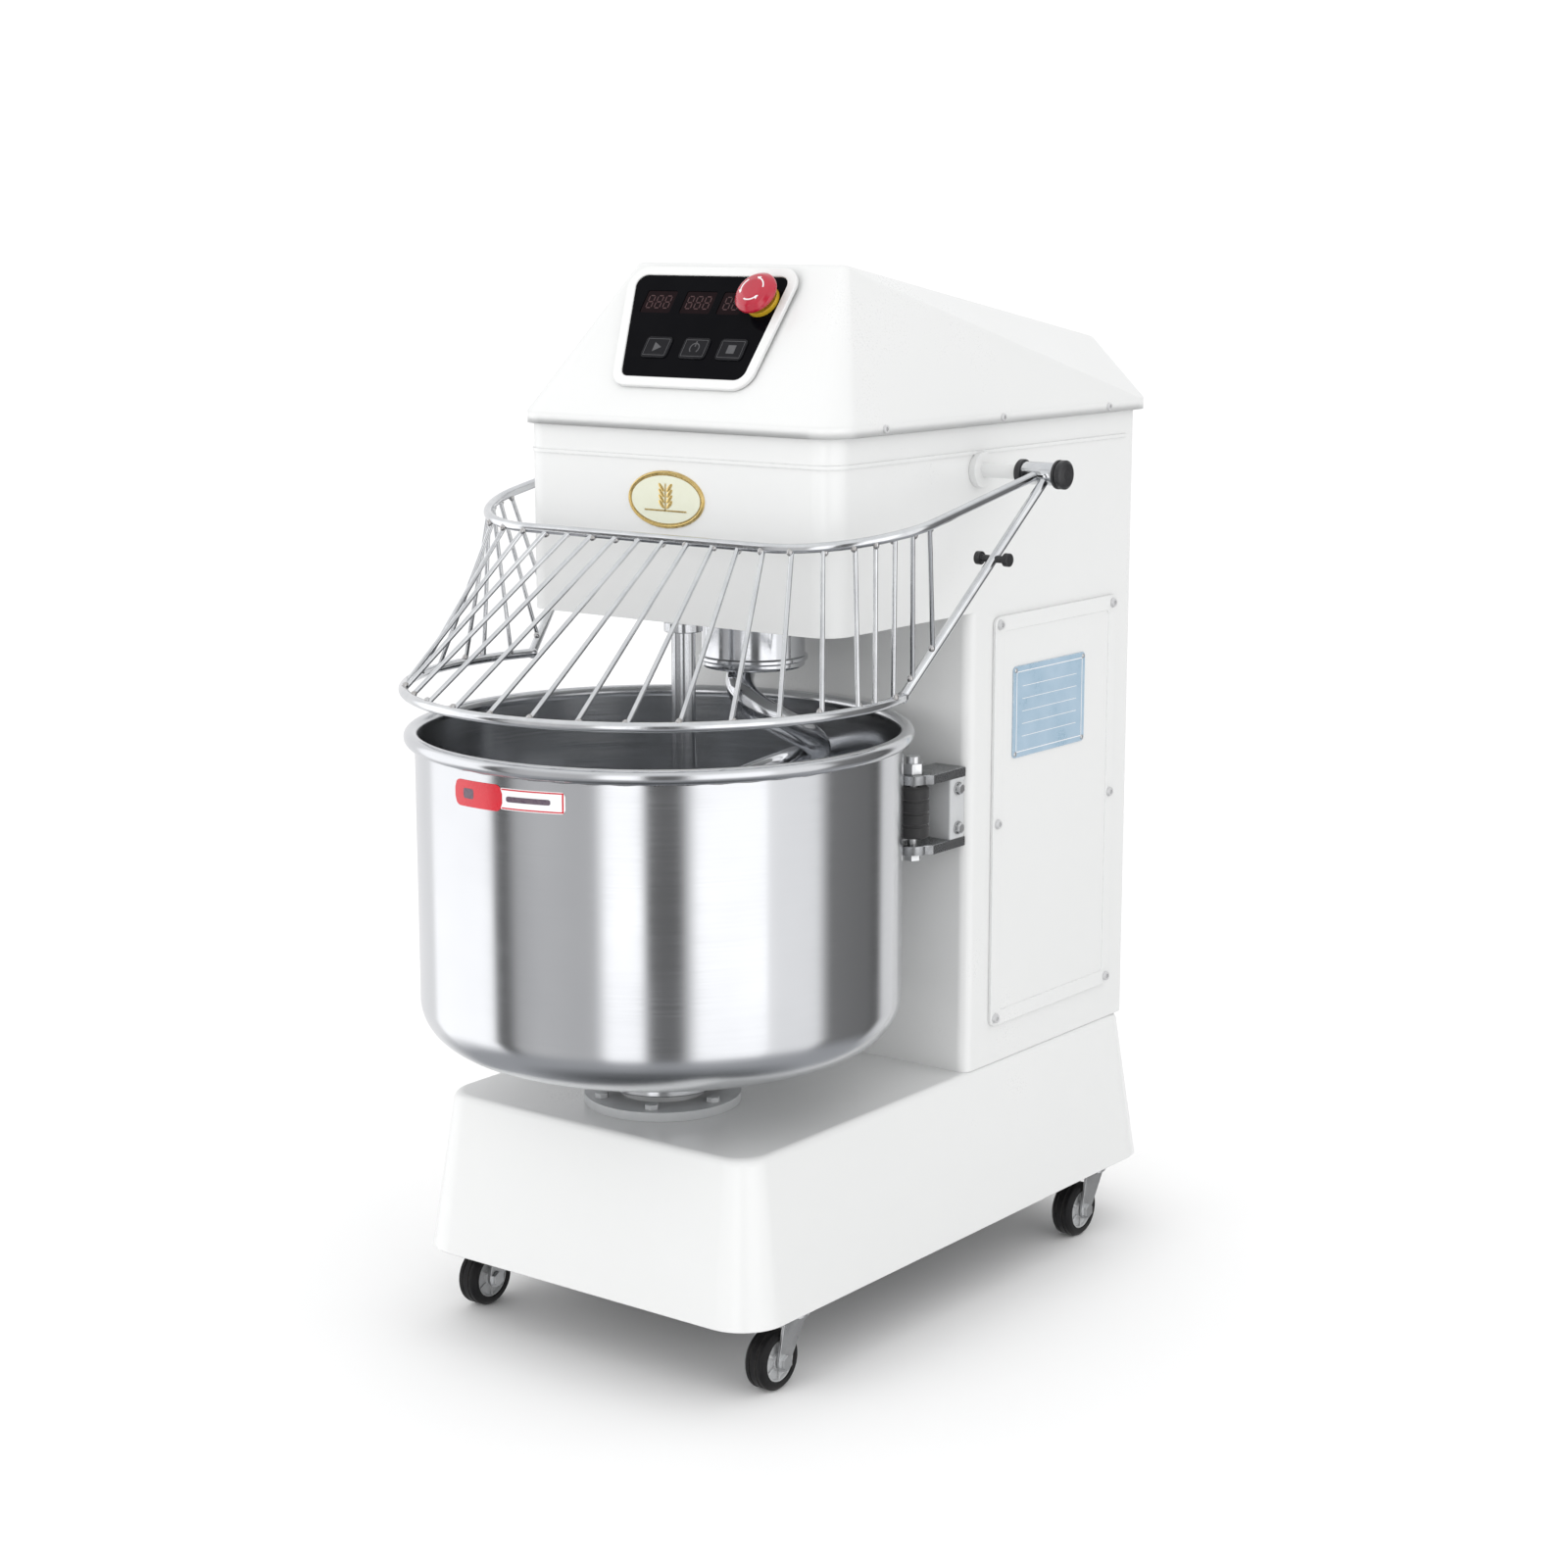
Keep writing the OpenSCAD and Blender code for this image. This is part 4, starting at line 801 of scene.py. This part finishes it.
for end in ("front", "rear"):
    for side in ("left", "right"):
        name = f"wheel_{end}_{side}"
        low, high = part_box(name)
        mid = (low + high) / 2
        r, w = (high.z - low.z) / 2, high.x - low.x
        place = Matrix.Translation(mid) @ Matrix.Rotation(math.pi / 2, 4, "Y")
        tread = [(17.2 * MM, -w / 2 + 2.5 * MM), (18 * MM, -w / 2), (r - 3 * MM, -w / 2)]
        radii = [0, 0.6 * MM, 2.6 * MM]
        tread += [(r, -w / 2 + 3 * MM)]
        radii += [2 * MM]
        for z in (-3.2 * MM, 3.2 * MM):
            tread += [(r, z - 0.9 * MM), (r - 0.9 * MM, z - 0.4 * MM),
                      (r - 0.9 * MM, z + 0.4 * MM), (r, z + 0.9 * MM)]
            radii += [0.2 * MM] * 4
        tread += [(r, w / 2 - 3 * MM), (r - 3 * MM, w / 2), (18 * MM, w / 2),
                  (17.2 * MM, w / 2 - 2.5 * MM)]
        radii += [2 * MM, 2.6 * MM, 0.6 * MM, 0]
        bm = bmesh.new()
        turned(bm, tread, radii, place, 96, 4)
        finish_piece("tyre_" + name[6:], bm, name, MAT["tyre"], [name])
        hub = [(4.2 * MM, -w / 2 + 0.3 * MM), (7.4 * MM, -w / 2 + 0.3 * MM),
               (8.2 * MM, -w / 2 + 3 * MM), (15.2 * MM, -w / 2 + 3.6 * MM),
               (16.4 * MM, -w / 2 + 1.2 * MM), (17.6 * MM, -w / 2 + 1.2 * MM),
               (17.6 * MM, w / 2 - 1.2 * MM), (16.4 * MM, w / 2 - 1.2 * MM),
               (15.2 * MM, w / 2 - 3.6 * MM), (8.2 * MM, w / 2 - 3 * MM),
               (7.4 * MM, w / 2 - 0.3 * MM), (4.2 * MM, w / 2 - 0.3 * MM)]
        bm = bmesh.new()
        turned(bm, hub, 0.7 * MM, place, 72, 3)
        # ribs between the hub and the rim, both sides
        for k in range(6):
            for s in (-1, 1):
                turn = Matrix.Rotation(math.pi / 3 * k, 4, "Z")
                rib = place @ turn @ Matrix.Translation((11.8 * MM, 0, s * (w / 2 - 2.7 * MM)))
                size = Matrix.Diagonal((8 * MM, 1.8 * MM, 1.8 * MM, 1))
                bmesh.ops.create_cube(bm, size=1.0, matrix=rib @ size)
        finish_piece("wheel_disc_" + name[6:], bm, name, WHEEL_GREY)

# ---------------------------------------------------------------- control panel details

MARK_LOW, MARK_HIGH = -0.02 * MM, 0.12 * MM


def icon(name, body, place, shapes, mat=ICON_GREY):
    """Flat raised marks; each shape is a convex outline in metres."""
    bm = bmesh.new()
    for outline in shapes:
        slab(bm, outline, MARK_LOW, MARK_HIGH, place)
    return finish_piece(name, bm, body, mat, weighted=False)


def bar(x0, y0, x1, y1, w):
    d = Vector((x1 - x0, y1 - y0)).normalized()
    n = Vector((-d.y, d.x)) * w / 2
    a, b = Vector((x0, y0)), Vector((x1, y1))
    return [tuple(a + n), tuple(a - n), tuple(b - n), tuple(b + n)]


def scaled(shapes, k):
    return [[(x * k, y * k) for x, y in s] for s in shapes]


arc = [(4.6 * math.cos(math.radians(a)), 4.6 * math.sin(math.radians(a)))
       for a in range(-50, 231, 20)]
KEY_ICONS = {
    "key_left": [[(-3, -4.5), (5, 0), (-3, 4.5)]],
    "key_middle": [bar(*arc[i], *arc[i + 1], 1.0) for i in range(len(arc) - 1)]
                  + [bar(0, 1.5, 0, 6.6, 1.1)],
    "key_right": [[(-4, -4), (4, -4), (4, 4), (-4, 4)]],
}
for key, shapes in KEY_ICONS.items():
    place, size = slope_frame(key)
    icon(key + "_mark", key, place, scaled(shapes, MM))
    frame_lines = []
    w, h = size[0] / 2 - 2.2 * MM, size[1] / 2 - 2.2 * MM
    for x0, y0, x1, y1 in ((-w, -h, w, -h), (w, -h, w, h), (w, h, -w, h), (-w, h, -w, -h)):
        frame_lines.append(bar(x0, y0, x1, y1, 0.4 * MM))
    icon(key + "_border", key, place, frame_lines)


def digit(at, h, w, t):
    """The bars of one seven-bar digit."""
    x, y = at
    ends = ((-1, 1, 1, 1), (1, 1, 1, 0), (1, 0, 1, -1), (-1, -1, 1, -1), (-1, 0, -1, -1),
            (-1, 1, -1, 0), (-1, 0, 1, 0))
    gap = t * 0.7
    out = []
    for x0, y0, x1, y1 in ends:
        a, b = Vector((x + x0 * w / 2, y + y0 * h / 2)), Vector((x + x1 * w / 2, y + y1 * h / 2))
        d = (b - a).normalized() * gap
        out.append(bar(*(a + d), *(b - d), t))
    return out


windows = sorted(islands("display_windows"), key=lambda q: min(p.x for p in q))
for i, points in enumerate(windows):
    mid = [(min(p.dot(d) for p in points) + max(p.dot(d) for p in points)) / 2
           for d in (ACROSS, UP_SLOPE)]
    wide = max(p.x for p in points) - min(p.x for p in points)
    top = max(p.dot(OUT) for p in points)
    at = ACROSS * mid[0] + UP_SLOPE * mid[1] + OUT * top
    place = Matrix.Translation(at) @ Matrix((ACROSS, UP_SLOPE, OUT)).transposed().to_4x4()
    count = 3 if wide > 0.028 else 2
    pitch = 9 * MM
    shapes = []
    for k in range(count):
        shapes += digit(((k - (count - 1) / 2) * pitch, 0), 12 * MM, 5.6 * MM, 1.1 * MM)
    icon(f"display_digits_{i + 1}", "machine", place, shapes, SEGMENT_RED)

# stop button: domed mushroom with three raised arrows
place, size = slope_frame("estop_button")
r = size[0] / 2
bm = bmesh.new()
turned(
    bm,
    [(0, 0), (r * 0.45, -0.25 * MM), (r * 0.8, -2.4 * MM), (r, -6.0 * MM), (r, -8.4 * MM),
     (r - 2.2 * MM, -11 * MM), (7.6 * MM, -11 * MM), (7.6 * MM, -20 * MM), (0, -20 * MM)],
    [0, 6 * MM, 6 * MM, 2.4 * MM, 1 * MM, 0.8 * MM, 0.4 * MM, 0, 0], place, 96)
finish_piece("stop_button_cap", bm, "estop", MAT["red_plastic"],
             ["estop_button"], sharp=50)
ARROW_R = r * 0.56
ARROW_LOW, ARROW_HIGH = -2.4 * MM, -0.65 * MM
bm = bmesh.new()
for k in range(3):
    curve = []
    for j in range(9):
        a = math.radians(120 * k + 8 + 7.5 * j)
        curve.append((ARROW_R * math.cos(a), ARROW_R * math.sin(a)))
    for start, end in zip(curve, curve[1:]):
        slab(bm, bar(*start, *end, 1.1 * MM), ARROW_LOW, ARROW_HIGH, place)
    d = Vector((-math.sin(a), math.cos(a)))
    n = Vector((math.cos(a), math.sin(a)))
    foot = n * ARROW_R
    slab(bm, [tuple(foot + n * 1.8 * MM), tuple(foot + d * 3.4 * MM), tuple(foot - n * 1.8 * MM)],
         ARROW_LOW, ARROW_HIGH, place)
finish_piece("stop_button_arrows", bm, "estop", STICKER_WHITE, weighted=False)

# ---------------------------------------------------------------- badge and plate

low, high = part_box("badge")
mid = (low + high) / 2
place = Matrix.Translation((mid.x, high.y, mid.z)) @ Matrix.Rotation(math.pi / 2, 4, "X")
rx, ry, thick = (high.x - low.x) / 2, (high.z - low.z) / 2, high.y - low.y
bm = bmesh.new()
slab(bm, ellipse(rx, ry), 0, thick * 0.55, place, 0.4 * MM)
rings = []
for k in range(72):
    a = 2 * math.pi * k / 72
    rings.append(place @ Vector(((rx - 1.6 * MM) * math.cos(a), (ry - 1.6 * MM) * math.sin(a),
                                 thick * 0.5)))
tube(bm, rings, 0.95 * MM, 12, closed=True)
finish_piece("badge_plate", bm, "machine", MAT["gold"], ["badge"])
bm = bmesh.new()
slab(bm, ellipse(rx - 4 * MM, ry - 4 * MM), 0, thick * 0.7, place, 0.3 * MM)
finish_piece("badge_enamel", bm, "machine", ENAMEL)
# plain wheat ear as the emblem
bm = bmesh.new()
EMBLEM_T = thick * 0.86
slab(bm, bar(-22 * MM, -9 * MM, 22 * MM, -9 * MM, 1.3 * MM), 0, EMBLEM_T, place)
slab(bm, bar(0, -9 * MM, 0, 13 * MM, 1.2 * MM), 0, EMBLEM_T, place)
for k in range(4):
    for s in (-1, 1):
        leaf = ellipse(4.4 * MM, 1.7 * MM, 20)
        turn = Matrix.Translation((s * 4.2 * MM, (-4 + 4.6 * k) * MM, 0)) \
            @ Matrix.Rotation(s * math.radians(48), 4, "Z")
        slab(bm, leaf, 0, EMBLEM_T, place @ turn, 0.2 * MM, 2)
finish_piece("badge_emblem", bm, "machine", MAT["gold"], weighted=False)

low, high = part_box("rating_plate")
mid = (low + high) / 2
face = Matrix.Translation((high.x, mid.y, mid.z)) @ Matrix(
    ((0, 0, 1, 0), (1, 0, 0, 0), (0, 1, 0, 0), (0, 0, 0, 1)))
w, h = (high.y - low.y) / 2, (high.z - low.z) / 2
bm = bmesh.new()
m = 5 * MM
for x0, y0, x1, y1 in ((-w + m, -h + m, w - m, -h + m), (w - m, -h + m, w - m, h - m),
                       (w - m, h - m, -w + m, h - m), (-w + m, h - m, -w + m, -h + m)):
    slab(bm, bar(x0, y0, x1, y1, 0.8 * MM), MARK_LOW, MARK_HIGH, face)
for k in range(5):
    y = h - 18 * MM - k * 11 * MM
    slab(bm, bar(-w + 14 * MM, y, w - 14 * MM, y, 0.5 * MM), MARK_LOW, 0.1 * MM, face)
finish_piece("plate_lines", bm, "machine", STICKER_WHITE, weighted=False)
bm = bmesh.new()
for sx in (-1, 1):
    for sy in (-1, 1):
        lathe(bm, [(2.2 * MM, -0.1 * MM), (2.0 * MM, 0.5 * MM), (1.2 * MM, 0.9 * MM), (0, 1 * MM)],
              face @ Matrix.Translation((sx * (w - 3.4 * MM), sy * (h - 3.4 * MM), 0)), 24)
finish_piece("plate_rivets", bm, "machine", MAT["zinc_steel"])

# ---------------------------------------------------------------- roller brackets and their bolts

arms = bmesh.new()
blocks = bmesh.new()
for points in islands("roller_brackets"):
    s = 1 if points[0].x > 0 else -1
    x0, x1 = (f(p.x for p in points) for f in (min, max))
    y0, y1 = (f(p.y for p in points) for f in (min, max))
    z0, z1 = (f(p.z for p in points) for f in (min, max))
    tip_r = 13 * MM
    tip_x = x0 + tip_r if s > 0 else x1 - tip_r
    arm_t = 8 * MM
    curve = [(tip_x + tip_r * math.cos(math.radians(a)),
              y0 + tip_r + tip_r * math.sin(math.radians(a))) for a in range(180, 361, 10)]
    outer = [(x1 if s > 0 else x0, y0 + tip_r + 5 * MM)]
    curve = curve + outer if s > 0 else outer + curve
    outline = [(x0, y1)] + curve + [(x1, y1)]
    for z in (z0, z1 - arm_t):
        slab(arms, outline, z, z + arm_t, Matrix.Identity(4), 1 * MM)
    mid_x, mid_y = (x0 + x1) / 2, y1 - 11 * MM
    slab(blocks, round_rect(x1 - x0 - 0.6 * MM, 22 * MM - 0.6 * MM, 2 * MM, 5, (mid_x, mid_y)),
         z0 + arm_t, z1 - arm_t, Matrix.Identity(4))
finish_piece("bracket_arms", arms, "machine", BRACKET_STEEL, ["roller_brackets"])
finish_piece("bracket_blocks", blocks, "machine", MAT["housing_paint"])
bm = bmesh.new()
for points in islands("roller_brackets"):
    x0, x1 = min(p.x for p in points), max(p.x for p in points)
    y1 = max(p.y for p in points)
    z0, z1 = min(p.z for p in points), max(p.z for p in points)
    outside = 1 if x0 > 0 else -1
    x = x1 if outside > 0 else x0
    for z in (z0 + 17 * MM, z1 - 17 * MM):
        place = Matrix.Translation((x, y1 - 11 * MM, z)) \
            @ Matrix.Rotation(outside * math.pi / 2, 4, "Y")
        lathe(bm, [(0, 0), (5.6 * MM, 0), (5.6 * MM, 0.8 * MM), (4.6 * MM, 0.9 * MM)], place, 32)
        lathe(bm, [(4.6 * MM, 0.8 * MM), (4.6 * MM, 3.6 * MM), (4.0 * MM, 4.2 * MM), (0, 4.2 * MM)],
              place, 6)
finish_piece("bracket_bolts", bm, "machine", MAT["zinc_steel"], sharp=30)

# ---------------------------------------------------------------- floor, light, camera

floor_mesh = bpy.data.meshes.new("floor")
FLOOR = 60
floor_mesh.from_pydata([(-FLOOR, -FLOOR, 0), (FLOOR, -FLOOR, 0), (FLOOR, FLOOR, 0),
                        (-FLOOR, FLOOR, 0)], [], [(0, 1, 2, 3)])
floor = bpy.data.objects.new("floor", floor_mesh)
bpy.context.scene.collection.objects.link(floor)
floor_mesh.materials.append(material(
    "floor_pale", (0.93, 0.93, 0.93), 0.9, other=(0.92, 0.92, 0.92), patch=1.5, grain=60.0,
    bump=0.02, spec=0.1))
floor.visible_glossy = False

world = bpy.data.worlds.new("studio")
bpy.context.scene.world = world
world.use_nodes = True
t = Tree(world.node_tree)
direction = t.add("TexCoord").outputs["Generated"]
xyz = t.add("SeparateXYZ", Vector=direction).outputs
turned = t.math("MULTIPLY", t.math("ARCTAN2", xyz[1], xyz[0]), 1 / (2 * math.pi))
around = t.math("FRACT", turned, 0)
AMBIENT = 1.16
# brightness of the studio round the machine, by azimuth from +X in turns
BANDS = [(0.000, 1.15), (0.018, 1.08), (0.070, 1.05), (0.102, 0.22), (0.170, 0.19),
         (0.200, 0.12), (0.222, 0.85), (0.310, 0.90), (0.480, 0.95), (0.497, 1.45),
         (0.622, 1.50), (0.630, 0.10), (0.645, 0.12), (0.668, 0.58), (0.700, 0.66),
         (0.772, 0.60), (0.795, 1.60), (0.832, 1.60), (0.846, 0.16), (0.880, 0.15),
         (0.912, 1.55), (0.965, 1.55)]
ramp = t.add("ValToRGB")
ramp.color_ramp.interpolation = "EASE"
while len(ramp.color_ramp.elements) < len(BANDS):
    ramp.color_ramp.elements.new(0.5)
for element, (place, level) in zip(ramp.color_ramp.elements, BANDS):
    element.position = place
    element.color = (level, level, level * 1.01, 1)
t.put(ramp.inputs[0], around)
above = t.mix(t.span(xyz[2], 0.35, 0.75), ramp.outputs[0], (0.92, 0.93, 0.94, 1))
below = t.mix(t.span(xyz[2], -0.42, -0.62), above, (0.42, 0.43, 0.45, 1))
seen = t.mix(t.span(xyz[2], -0.80, -0.97), below, (0.10, 0.105, 0.11, 1))
ray = t.add("LightPath").outputs
chosen = t.mix(ray["Is Glossy Ray"], (AMBIENT, AMBIENT, AMBIENT, 1), seen)
background = t.add("Background", Color=chosen, Strength=1.0)
out = t.add("OutputWorld")
t.put(out.inputs["Surface"], background.outputs[0])


def area(name, at, aim, size, power):
    data = bpy.data.lights.new(name, "AREA")
    data.shape = "RECTANGLE"
    data.size, data.size_y = size
    data.energy = power
    light = bpy.data.objects.new(name, data)
    bpy.context.scene.collection.objects.link(light)
    light.location = at
    light.rotation_euler = (Vector(aim) - Vector(at)).to_track_quat("-Z", "Y").to_euler()
    light.visible_camera = False
    light.visible_glossy = False


area("key", (-0.9, -3.2, 1.1), (0, 0, 0.45), (2.4, 1.8), 18)
area("side", (3.2, -0.9, 0.9), (0, 0, 0.4), (2.4, 1.6), 9)
area("top", (0.2, -0.2, 3.4), (0, 0, 0), (3.0, 3.0), 0.5)

LENS = 67.81
CAMERA_AT = (1.5274, -1.9809, 0.9357)
CAMERA_TURN = (math.radians(78.947), 0, math.radians(37.302))
camera_data = bpy.data.cameras.new("camera")
camera = bpy.data.objects.new("camera", camera_data)
bpy.context.scene.collection.objects.link(camera)
camera_data.lens = LENS
camera_data.sensor_width = 36.0
camera.location = CAMERA_AT
camera.rotation_euler = CAMERA_TURN
camera_data.clip_start = 0.05
camera_data.clip_end = 200
bpy.context.scene.camera = camera
bpy.context.scene.view_settings.view_transform = "Standard"
